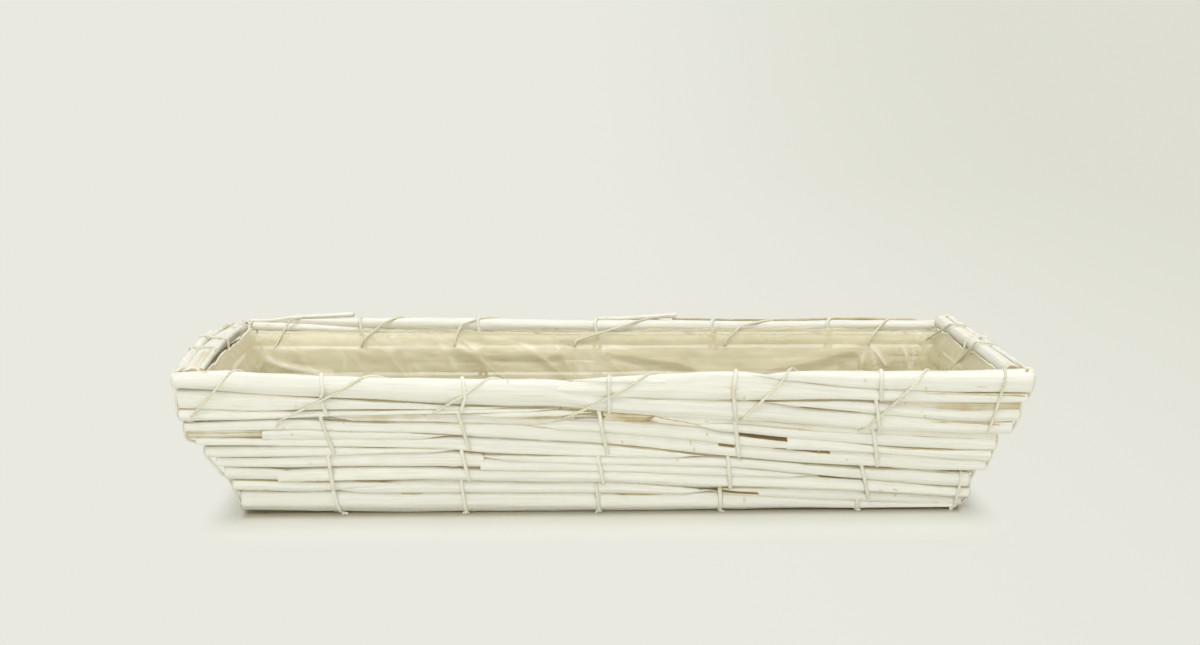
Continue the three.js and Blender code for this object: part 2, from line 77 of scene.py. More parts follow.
class Slot(Enum):
    """Material slots of the record."""

    REED = "reed"
    TWINE = "twine"
    FOIL = "foil"


@dataclass(frozen=True)
class Layout:
    """Sizes that all pieces share, in millimetres, as the solids have them."""

    rim_length: float = 600.0
    rim_width: float = 210.0
    base_length: float = 540.0
    base_width: float = 150.0
    overhang: float = 0.5
    foot_flat: float = 1.0
    clearance: float = 0.3
    course_gap: float = 3.0
    twine: float = 1.8
    twist: float = 2.5
    base_reed: float = 13.0
    base_count: int = 6
    film_inside: float = 10.7
    lash_inside: float = 12.4
    names: tuple[str, ...] = ("foot", "lower", "middle", "upper", "rim")
    long_reeds: tuple[tuple[float, ...], ...] = (
        (14.0,), (11.5, 11.5), (8.5, 8.0, 8.5), (9.5, 9.5), (9.0, 12.5),
    )
    end_reeds: tuple[int, ...] = (1, 2, 2, 2, 2)

    @cached_property
    def foot_radius(self) -> float:
        """Half of the foot reed's thickness."""
        return self.long_reeds[0][0] / 2

    @cached_property
    def foot_centre(self) -> float:
        """Height of the middle of the foot reed."""
        return self.foot_radius - self.foot_flat

    @cached_property
    def levels(self) -> Line:
        """Lower and upper edge of each course, up the slope from the middle of the foot reed."""
        corner = self.foot_radius / math.cos(math.pi / 8)
        levels = [(-corner, corner)]
        for reeds in self.long_reeds[1:]:
            bottom = levels[-1][1] + self.course_gap
            levels.append((bottom, bottom + sum(reeds) + (len(reeds) - 1) * self.clearance))
        return tuple(levels)

    @cached_property
    def rim_line(self) -> float:
        """Middle of the top reed, up the slope."""
        return self.levels[-1][1] - self.long_reeds[-1][-1] / 2

    @cached_property
    def long_run(self) -> float:
        """How far a long wall leans out between its foot and its rim."""
        rim = self.rim_width / 2 - self.long_reeds[-1][-1] / 2
        return rim - (self.base_width / 2 - self.foot_radius)

    @cached_property
    def end_run(self) -> float:
        """How far an end wall leans out between its foot and its rim."""
        return (self.rim_length - self.base_length) / 2

    @cached_property
    def long_lean(self) -> float:
        """Lean of the long walls."""
        return math.asin(self.long_run / self.rim_line)

    @cached_property
    def end_lean(self) -> float:
        """Lean of the end walls."""
        return math.atan(self.end_run / (self.rim_line * math.cos(self.long_lean)))

    @cached_property
    def base_height(self) -> float:
        """Height of the middles of the base reeds."""
        corner = 1 / math.cos(math.pi / 8)
        under = self.clearance + self.twine / 2
        return under + (self.base_reed / 2 * corner + under) * corner

    @cached_property
    def base_places(self) -> Array:
        """Places of the base reeds across the width."""
        room = self.base_width - 4 * self.foot_radius
        pitch = (room - self.base_count * self.base_reed) / (self.base_count + 1) + self.base_reed
        return (np.arange(self.base_count) - (self.base_count - 1) / 2) * pitch

    def rise(self, height: Array | float) -> Array | float:
        """Share of the wall's rise at a height, none at the foot and one at the rim."""
        return (height - self.foot_centre) / (self.rim_line * math.cos(self.long_lean))


LAYOUT = Layout()


@dataclass(frozen=True)
class Wall:
    """Leaning wall: x runs along it, s up its slope from the foot's middle and n outwards."""

    name: str
    yaw: float
    reach: float
    lean: float
    is_long: bool

    @cached_property
    def scale(self) -> float:
        """Stretch of the course levels, so that the courses of all walls lie at one height."""
        return 1.0 if self.is_long else math.cos(LAYOUT.long_lean) / math.cos(self.lean)

    @cached_property
    def axes(self) -> Array:
        """Rows are the directions along, up the slope and outwards."""
        sin, cos = math.sin(self.lean), math.cos(self.lean)
        flat = np.array([[1, 0, 0], [0, -sin, cos], [0, -cos, -sin]])
        turn_sin, turn_cos = math.sin(self.yaw), math.cos(self.yaw)
        turn = np.array([[turn_cos, turn_sin, 0], [-turn_sin, turn_cos, 0], [0, 0, 1]])
        return flat @ turn

    @cached_property
    def origin(self) -> Array:
        """Middle of the foot reed."""
        return np.array(
            [self.reach * math.sin(self.yaw), -self.reach * math.cos(self.yaw), LAYOUT.foot_centre]
        )

    def point(self, x: Array, s: Array, n: Array) -> Array:
        """Points of the basket for places on the wall: origin + x along + s up + n out."""
        x, s, n = np.broadcast_arrays(x, s, n)
        return self.origin + np.stack([x, s, n], axis=-1) @ self.axes

    def turned(self, out: Array, up: Array) -> tuple[Array, Array]:
        """Shift up the slope and outwards that a level shift out and an upright shift up come to."""
        sin, cos = math.sin(self.lean), math.cos(self.lean)
        return up * cos + out * sin, out * cos - up * sin

    def height(self, s: Array | float) -> Array | float:
        """Height above the floor of a place up the slope."""
        return LAYOUT.foot_centre + s * math.cos(self.lean)

    def half_along(self, s: Array | float) -> Array | float:
        """Half length of the wall at a place up the slope."""
        share = LAYOUT.rise(self.height(s))
        if self.is_long:
            return LAYOUT.base_length / 2 + LAYOUT.end_run * share
        return LAYOUT.base_width / 2 - LAYOUT.foot_radius + LAYOUT.long_run * share

    def half_corner(self, s: Array | float) -> Array | float:
        """Place of the corner ties along the wall."""
        inner = LAYOUT.overhang + 2 * LAYOUT.foot_radius if self.is_long else LAYOUT.foot_radius
        return self.half_along(s) - inner - (0.0 if self.is_long else 6.0)

    def gaps(self) -> Array:
        """Middles of the gaps between the courses, highest first."""
        edges = LAYOUT.levels
        middles = [(low[1] + high[0]) / 2 for low, high in zip(edges[:-1], edges[1:])]
        return np.array(middles[::-1]) * self.scale


LONG_REACH = LAYOUT.base_width / 2 - LAYOUT.foot_radius
END_REACH = LAYOUT.base_length / 2 - LAYOUT.overhang - LAYOUT.foot_radius
FRONT = Wall("front", 0.0, LONG_REACH, LAYOUT.long_lean, True)
RIGHT = Wall("right", math.pi / 2, END_REACH, LAYOUT.end_lean, False)
BACK = Wall("back", math.pi, LONG_REACH, LAYOUT.long_lean, True)
LEFT = Wall("left", -math.pi / 2, END_REACH, LAYOUT.end_lean, False)


def placed(name: str, data: bpy.types.ID, axes: Sequence[Array], place: Array) -> Piece:
    """New camera or lamp at a place in metres: axes are its right, its up and away from what it faces."""
    matrix = np.eye(4)
    matrix[:3] = np.stack([*axes, place], axis=1)
    thing = bpy.data.objects.new(name, data)
    thing.matrix_world = Matrix(matrix.tolist())
    bpy.context.scene.collection.objects.link(thing)
    return thing


@dataclass(frozen=True)
class ViewCamera:
    """Camera of the picture: place in millimetres, focal length in pixels of a picture 1200 wide."""

    focal: float = 1395.0
    width: float = 1200.0
    height: float = 645.0
    place: tuple[float, float, float] = (-45.0, -1056.0, 345.0)
    pitch: float = 11.58
    yaw: float = -2.35
    roll: float = 0.31
    sensor: float = 36.0
    clip_end: float = 50.0

    @cached_property
    def axes(self) -> Array:
        """Rows are the camera's right, up and forward directions."""
        pitch, yaw, roll = (math.radians(a) for a in (self.pitch, self.yaw, self.roll))
        level = np.array([-math.sin(yaw), math.cos(yaw), 0.0])
        forward = level * math.cos(pitch) - np.array([0.0, 0.0, math.sin(pitch)])
        right = np.array([math.cos(yaw), math.sin(yaw), 0.0])
        up = np.cross(right, forward)
        turned_right = right * math.cos(roll) + up * math.sin(roll)
        turned_up = up * math.cos(roll) - right * math.sin(roll)
        return np.array([turned_right, turned_up, forward])

    def on_wall(self, wall: Wall, px: Array, py: Array, n: float) -> tuple[Array, Array]:
        """Places on a wall that the camera sees at pixels of the 1200 x 645 picture.

        The ray through a pixel meets the plane at n outwards of the wall's middle.

        Args:
            wall: The wall.
            px: Pixel columns.
            py: Pixel rows.
            n: Distance of the plane outwards of the wall's middle.

        Returns:
            Places along the wall and up its slope.
        """
        px, py = np.asarray(px, float), np.asarray(py, float)
        right, up = (px - self.width / 2) / self.focal, (self.height / 2 - py) / self.focal
        ray = np.stack([right, up, np.ones_like(px)], axis=-1) @ self.axes
        start = np.array(self.place) - wall.origin
        along, slope, out = wall.axes
        share = (n - start @ out) / (ray @ out)
        place = start + share[..., None] * ray
        return place @ along, place @ slope

    def build(self) -> None:
        """Adds the camera and makes it the scene's own."""
        data = bpy.data.cameras.new("view")
        data.sensor_fit = "HORIZONTAL"
        data.sensor_width = self.sensor
        data.lens = self.sensor * self.focal / self.width
        data.clip_end = self.clip_end
        right, up, forward = self.axes
        bpy.context.scene.camera = placed("view", data, (right, up, -forward), np.array(self.place) * MM)


VIEW = ViewCamera()


def smooth_step(value: Array, low: float, high: float) -> Array:
    """Runs from 0 at low to 1 at high as 3t^2 - 2t^3."""
    share = np.clip((value - low) / (high - low), 0, 1)
    return share * share * (3 - 2 * share)


def blurred(values: Array, width: float) -> Array:
    """Values averaged along the first axis with a Gaussian of that width in samples, ends held."""
    if width < 0.2:
        return values
    reach = int(math.ceil(3 * width))
    offsets = np.arange(-reach, reach + 1)
    weights = np.exp(-0.5 * (offsets / width) ** 2)
    weights /= weights.sum()
    places = np.clip(np.arange(len(values))[:, None] + offsets, 0, len(values) - 1)
    return np.tensordot(values[places], weights, axes=([1], [0]))


def waves(length: Array, rng: Random, longest: float, count: int = 5) -> Array:
    """Smooth wander of about unit size: sines of falling wavelength with random phases."""
    order = np.arange(1, count + 1)
    phase = rng.uniform(0, 2 * math.pi, count)
    stretch = rng.uniform(0.8, 1.25, count)
    angle = 2 * math.pi * np.asarray(length)[..., None] * order * stretch / longest + phase
    return (np.sin(angle) / order).sum(axis=-1) / 1.3


def taut(heights: Array, places: Array | None = None) -> Array:
    """Line of a taut thread over heights at rising places: the highest chord that spans each place."""
    index = np.arange(len(heights))
    at = index if places is None else places
    first, middle, last = index[:, None, None], index[None, :, None], index[None, None, :]
    share = (at[middle] - at[first]) / np.where(last > first, at[last] - at[first], 1)
    chord = heights[first] * (1 - share) + heights[last] * share
    return np.where((first <= middle) & (middle <= last), chord, -np.inf).max(axis=(0, 2))


def to_line(u: Array, v: Array, line: Array) -> Array:
    """Distance of places (u, v) from a line through points, the least over its stretches."""
    nearest = np.full(np.broadcast(u, v).shape, np.inf)
    for start, stop in zip(line[:-1], line[1:]):
        step = stop - start
        across, up = u - start[0], v - start[1]
        share = np.clip((across * step[0] + up * step[1]) / max(float(step @ step), 1e-9), 0, 1)
        nearest = np.minimum(nearest, np.hypot(across - share * step[0], up - share * step[1]))
    return nearest


@dataclass(frozen=True)
class Mark:
    """Line of painted crevice shade over bare wood, or a fleck, on the outside of a wall, as a line of (x,
    s) places and a half width.
    """

    kind: MarkKind
    line: Array
    width: float


@dataclass
class Surface:
    """Grid of points turned into a mesh: rows along the piece, columns round or across it."""

    points: Array
    uv: Array
    closed: bool = True
    wear_and_painted_light: Array | None = None
    end_points: Array | None = None
    knot: Array | None = None

    def faces(self) -> tuple[Array, Array, Array]:
        """Corner indices of quads and cap triangles, and the row and column of each quad corner.

        Returns:
            Quads, triangles, and for the quads' corners the places in the uv grid.
        """
        rows, columns = self.points.shape[:2]
        spans = columns if self.closed else columns - 1
        row, column = np.meshgrid(np.arange(rows - 1), np.arange(spans), indexing="ij")
        row, column = row.ravel(), column.ravel()
        corner_rows = np.stack([row, row, row + 1, row + 1], axis=1)
        corner_columns = np.stack([column, column + 1, column + 1, column], axis=1)
        quads = corner_rows * columns + corner_columns % columns
        uv_places = corner_rows * self.uv.shape[1] + corner_columns
        triangles = np.zeros((0, 3), int)
        if self.end_points is not None:
            ring = np.arange(columns)
            turned = (ring + 1) % columns
            first = rows * columns
            start = np.stack([np.full(columns, first), turned, ring], axis=1)
            base = (rows - 1) * columns
            end = np.stack([np.full(columns, first + 1), base + ring, base + turned], axis=1)
            triangles = np.concatenate([start, end])
        return quads, triangles, uv_places

    def build(self, name: str, sharp: float = 50.0) -> Piece:
        """Makes the object, its faces outwards where it is closed.

        Args:
            name: Name of the object.
            sharp: Angle in degrees above which an edge is shaded sharp.

        Returns:
            The new object at the origin, in metres.
        """
        vertices = self.points.reshape(-1, 3)
        quads, triangles, uv_places = self.faces()
        if self.end_points is not None:
            vertices = np.concatenate([vertices, self.end_points])
            if self.volume(vertices, quads, triangles) < 0:
                quads, uv_places, triangles = quads[:, ::-1], uv_places[:, ::-1], triangles[:, ::-1]
        uv = self.uv.reshape(-1, 2)[uv_places.ravel()]
        if len(triangles):
            caps = np.repeat(self.uv[[0, -1], 0], len(triangles) // 2 * 3, axis=0)
            uv = np.concatenate([uv, caps])
        corners = np.concatenate([quads.ravel(), triangles.ravel()])
        starts = np.concatenate(
            [np.arange(0, quads.size, 4), quads.size + np.arange(0, triangles.size, 3)]
        )
        mesh = bpy.data.meshes.new(name)
        mesh.vertices.add(len(vertices))
        mesh.vertices.foreach_set("co", (vertices * MM).astype(np.float32).ravel())
        mesh.loops.add(len(corners))
        mesh.loops.foreach_set("vertex_index", corners.astype(np.int32))
        mesh.polygons.add(len(starts))
        mesh.polygons.foreach_set("loop_start", starts.astype(np.int32))
        mesh.update(calc_edges=True)
        mesh.uv_layers.new(name="length").data.foreach_set("uv", (uv * MM).astype(np.float32).ravel())
        self.mark(mesh, "wear_and_painted_light", self.wear_and_painted_light, 1.0)
        self.mark(mesh, "knot", self.knot, 0.0)
        mesh.shade_smooth()
        mesh.set_sharp_from_angle(angle=math.radians(sharp))
        piece = bpy.data.objects.new(name, mesh)
        bpy.context.scene.collection.objects.link(piece)
        return piece

    def mark(self, mesh: bpy.types.Mesh, name: str, values: Array | None, at_ends: float) -> None:
        """Stores one number per point, with a value of its own at the middles of the caps."""
        if values is None:
            return
        flat = values.ravel()
        if self.end_points is not None:
            flat = np.concatenate([flat, np.full(2, at_ends)])
        layer = mesh.attributes.new(name, "FLOAT", "POINT")
        layer.data.foreach_set("value", flat.astype(np.float32))

    @staticmethod
    def volume(vertices: Array, quads: Array, triangles: Array) -> float:
        """Signed volume of a closed mesh, from the triple products of its triangles."""
        parts = np.concatenate([quads[:, [0, 1, 2]], quads[:, [0, 2, 3]], triangles])
        a, b, c = (vertices[parts[:, k]] for k in range(3))
        return float(np.einsum("ij,ij->i", a, np.cross(b, c)).sum())


# Share of bare wood and painted crevice shade at the middle of a crevice line, and share of bare wood on the
# first two rows of a cut end
MARK_WOOD_AND_SHADE = {MarkKind.SPLIT: 1.35, MarkKind.CREVICE_SHADE: 0.9}
CUT_WEAR = (0.9, 0.45)

# Distances from an end at which its chamfer has rows, and their share of the reed's size
CHAMFER = (0.0, 0.35, 1.0)
CHAMFER_SHARE = (0.82, 0.95)

# Flutes of a reed as waves round it and their height as a share of the radius
FLUTES = ((2, 0.03), (3, 0.025), (5, 0.014), (8, 0.008))


@dataclass
class Reed:
    """One reed on a wall: its line, half height and half depth at stations, in millimetres."""

    name: str
    wall: Wall
    x: Array
    s: Array
    n: Array
    high: Array
    deep: Array
    seed: int
    node: str | None = None
    start: ReedEnd = SAWN
    end: ReedEnd = SAWN
    wander: float = 0.3
    around: int = 32
    step: float = 2.6
    floor: float = 0.0
    # Share of bare wood all over; on recessed fillers, the left end and the base it also paints the shade
    # that falls there
    bark_and_shade: float = 0.0
    # Painted shade on the lower side of a reed, drawn in the bare-wood colour
    under: float = 0.0
    marks: Sequence[Mark] = ()
    even: float = 9.0
    point: tuple[float, float] = (-6.0, 26.0)
    point_sink: float = 2.2
    scar_pitch: float = 95.0
    # Share of bare wood in the crevices between reeds: thin wash there, with painted crevice shade
    crevice_wear_and_shade: float = 0.74
    inner_wear: float = 0.3
    free_top: float = 0.85

    def __post_init__(self) -> None:
        """Puts the stations on a fine even line and smooths them."""
        fine = np.linspace(self.x[0], self.x[-1], max(int((self.x[-1] - self.x[0]) / self.step), 24))
        pace = fine[1] - fine[0]
        rng = np.random.default_rng(self.seed)
        values = {}
        for key in ("s", "n", "high", "deep"):
            values[key] = blurred(np.interp(fine, self.x, getattr(self, key)), self.even / pace)
        keep = np.minimum(1.0, values["high"] / 3.0)
        values["s"] = values["s"] + self.wander * keep * waves(fine, rng, 210)
        values["n"] = values["n"] + 0.7 * self.wander * waves(fine, rng, 260)
        swell = 1 + 0.025 * waves(fine, rng, 170)
        sharp = np.ones_like(fine)
        for kind, distance in ((self.start, fine - fine[0]), (self.end, fine[-1] - fine)):
            if kind is POINTED:
                sharp *= smooth_step(distance, *self.point)
        self.x = fine
        self.s, self.n = values["s"], values["n"] - self.point_sink * (1 - sharp)
        self.high, self.deep = values["high"] * swell * sharp, values["deep"] * swell * sharp

    def section(self, x: Array) -> tuple[Array, Array, Array, Array]:
        """Middle and half sizes of the reed at places along the wall, with no size past its ends."""
        x = np.asarray(x, float)
        inside = (x >= self.x[0]) & (x <= self.x[-1])
        s, n, high, deep = (np.interp(x, self.x, v) for v in (self.s, self.n, self.high, self.deep))
        return s, n, np.where(inside, high, 0.0), np.where(inside, deep, 0.0)

    def knots(self, rng: Random) -> tuple[Array, Array]:
        """Places along the reed and round it of the bud scars, 60 to 140 mm apart."""
        count = max(int((self.x[-1] - self.x[0]) / self.scar_pitch), 1)
        share = (np.arange(count) + rng.uniform(0.2, 0.8, count)) / count
        return self.x[0] + share * (self.x[-1] - self.x[0]), rng.uniform(-1.2, 4.3, count)

    def splits(self, along: Array, round_it: Array, rng: Random) -> Array:
        """Fine cracks along the reed: narrow bands of angle that fade towards their ends.

        Args:
            along: Places along the reed, one row each.
            round_it: Angles round the reed.
            rng: Random numbers of the reed.

        Returns:
            Strength of the crack at each point.
        """
        total = np.zeros(np.broadcast(along, round_it).shape)
        for _ in range(rng.integers(2, 6)):
            middle = rng.uniform(self.x[0], self.x[-1])
            half = rng.uniform(12, 70)
            turn = rng.uniform(-1.2, 1.5) + rng.uniform(-0.003, 0.003) * (along - middle)
            apart = np.angle(np.exp(1j * (round_it - turn)))
            fade = 1 - smooth_step(np.abs(along - middle), 0.5 * half, half)
            total = np.maximum(total, rng.uniform(0.3, 0.75) * fade * np.exp(-((apart / 0.1) ** 2)))
        return total

    def surface(self) -> Surface:
        """Skin of the reed.

        At the angle a round it a point lies at s + high r sin a and n + deep r cos a. The radius r is
        one, less a flat where the reed was split, with shallow flutes that drift along the length and
        a swelling at each bud scar. The ends close in over a short chamfer.

        Returns:
            The closed surface, with a mark for bare wood and painted shade, and one for bud scars.
        """
        rng = np.random.default_rng(self.seed + 5000)
        chamfer = np.array(CHAMFER)
        x = np.sort(np.concatenate([self.x[0] + chamfer, self.x[1:-1], self.x[-1] - chamfer]))
        rows = len(x)
        s, n, high, deep = self.section(x)
        ends = np.ones(rows)
        ends[[0, 1]] = ends[[-1, -2]] = CHAMFER_SHARE
        angle = np.linspace(0, 2 * math.pi, self.around, endpoint=False)
        along, round_it = x[:, None], angle[None, :]
        radius = np.ones((rows, self.around))
        for lobes, size in FLUTES:
            drift = 0.9 * waves(x, rng, 420)[:, None] + rng.uniform(0, 6.3)
            radius += size * np.cos(lobes * round_it + drift)
        facing = rng.uniform(-0.9, 0.9) + 0.25 * waves(x, rng, 500)[:, None]
        depth = rng.uniform(0.84, 0.99)
        chord = depth / np.maximum(np.cos(round_it - facing), 0.05)
        cut = -np.logaddexp(-30 * radius, -30 * chord) / 30
        radius = np.where(np.cos(round_it - facing) > 0.1, cut, radius)
        knot = np.zeros((rows, self.around))
        for place, turn in zip(*self.knots(rng)):
            apart = np.angle(np.exp(1j * (round_it - turn)))
            lobe = np.exp(-((along - place) / 2.6) ** 2) * np.exp(-((apart / 0.55) ** 2))
            collar = np.exp(-((along - place) / 2.0) ** 2)
            radius += 0.07 * lobe + 0.02 * collar
            knot = np.maximum(knot, lobe)
        split = self.splits(along, round_it, rng)
        radius *= ends[:, None] * (1 - 0.05 * split)
        up = s[:, None] + high[:, None] * radius * np.sin(round_it)
        out = n[:, None] + deep[:, None] * radius * np.cos(round_it)
        points = self.wall.point(along, up, out)
        points[..., 2] = np.maximum(points[..., 2], self.floor)
        middle = self.wall.point(x[[0, -1]], s[[0, -1]], n[[0, -1]])
        middle[:, 2] = np.maximum(middle[:, 2], self.floor)
        # Crevices between reeds: the wash is thin there, and the colour also paints the shade that falls in
        # them
        crevice = smooth_step(np.abs(np.sin(round_it)) * np.ones_like(radius), 0.72, 1.0)
        rim = LAYOUT.rim_line * self.wall.scale
        free = smooth_step(s + high, rim, rim + 4.0)[:, None] * (np.sin(round_it) > 0)
        crevice *= 1 - self.free_top * free
        inner = smooth_step(-np.cos(round_it) * np.ones_like(radius), -0.1, 0.7)
        # Lower side: painted shade under the foot reed, added to the bare-wood share
        below = smooth_step(-np.sin(round_it) * np.ones_like(radius), 0.3, 0.85)
        worn_and_shaded = self.bark_and_shade + self.crevice_wear_and_shade * crevice + self.inner_wear * inner + self.under * below + split
        wear_and_painted_light = np.clip(worn_and_shaded, 0, 1)
        # Crevice lines paint shade over bare wood; flecks take the fleck colour
        for mark in self.marks:
            near = to_line(along + 0 * up, up, mark.line)
            shade = (1 - smooth_step(near, 0.4 * mark.width, mark.width)) * (np.cos(round_it) > -0.2)
            if mark.kind is MarkKind.FLECK:
                knot = np.maximum(knot, shade)
            else:
                wear_and_painted_light = np.maximum(wear_and_painted_light, shade * MARK_WOOD_AND_SHADE[mark.kind])
        for row, wear in enumerate(CUT_WEAR):
            wear_and_painted_light[[row, -1 - row]] = np.maximum(wear_and_painted_light[[row, -1 - row]], wear)
        offset = rng.uniform(0, 4000, 2)
        girth = math.pi * float(np.mean(high + deep))
        turns = np.linspace(0, girth, self.around + 1)
        uv = np.stack(np.broadcast_arrays(along + offset[0], turns[None, :] + offset[1]), axis=-1)
        return Surface(points, uv, True, wear_and_painted_light, middle, knot)

    def build(self) -> Piece:
        """Makes the reed's object."""
        return self.surface().build(f"{self.name}_washed")


@dataclass(frozen=True)
class TracedReed:
    """Reed of the front wall as pixel stations: column, upper and lower row, left end first."""

    name: str
    node: str | None
    stations: tuple[tuple[float, float, float], ...]
    start: ReedEnd = SAWN
    end: ReedEnd = SAWN
    proud: float = 0.0
    bark_and_shade: float = 0.0

    def on_wall(self, wall: Wall, plane: float) -> tuple[Array, Array, Array]:
        """Places along a wall and up its slope, and half heights, on a plane outwards of its middle."""
        px, top, bottom = np.array(self.stations, float).T
        x, upper = VIEW.on_wall(wall, px, top, plane)
        _, lower = VIEW.on_wall(wall, px, bottom, plane)
        return x, (upper + lower) / 2, (upper - lower) / 2

    def node_on(self, wall: Wall) -> str | None:
        """Name of the node on a wall that the reed stands for."""
        return f"{wall.name}_{self.node}" if self.node else None
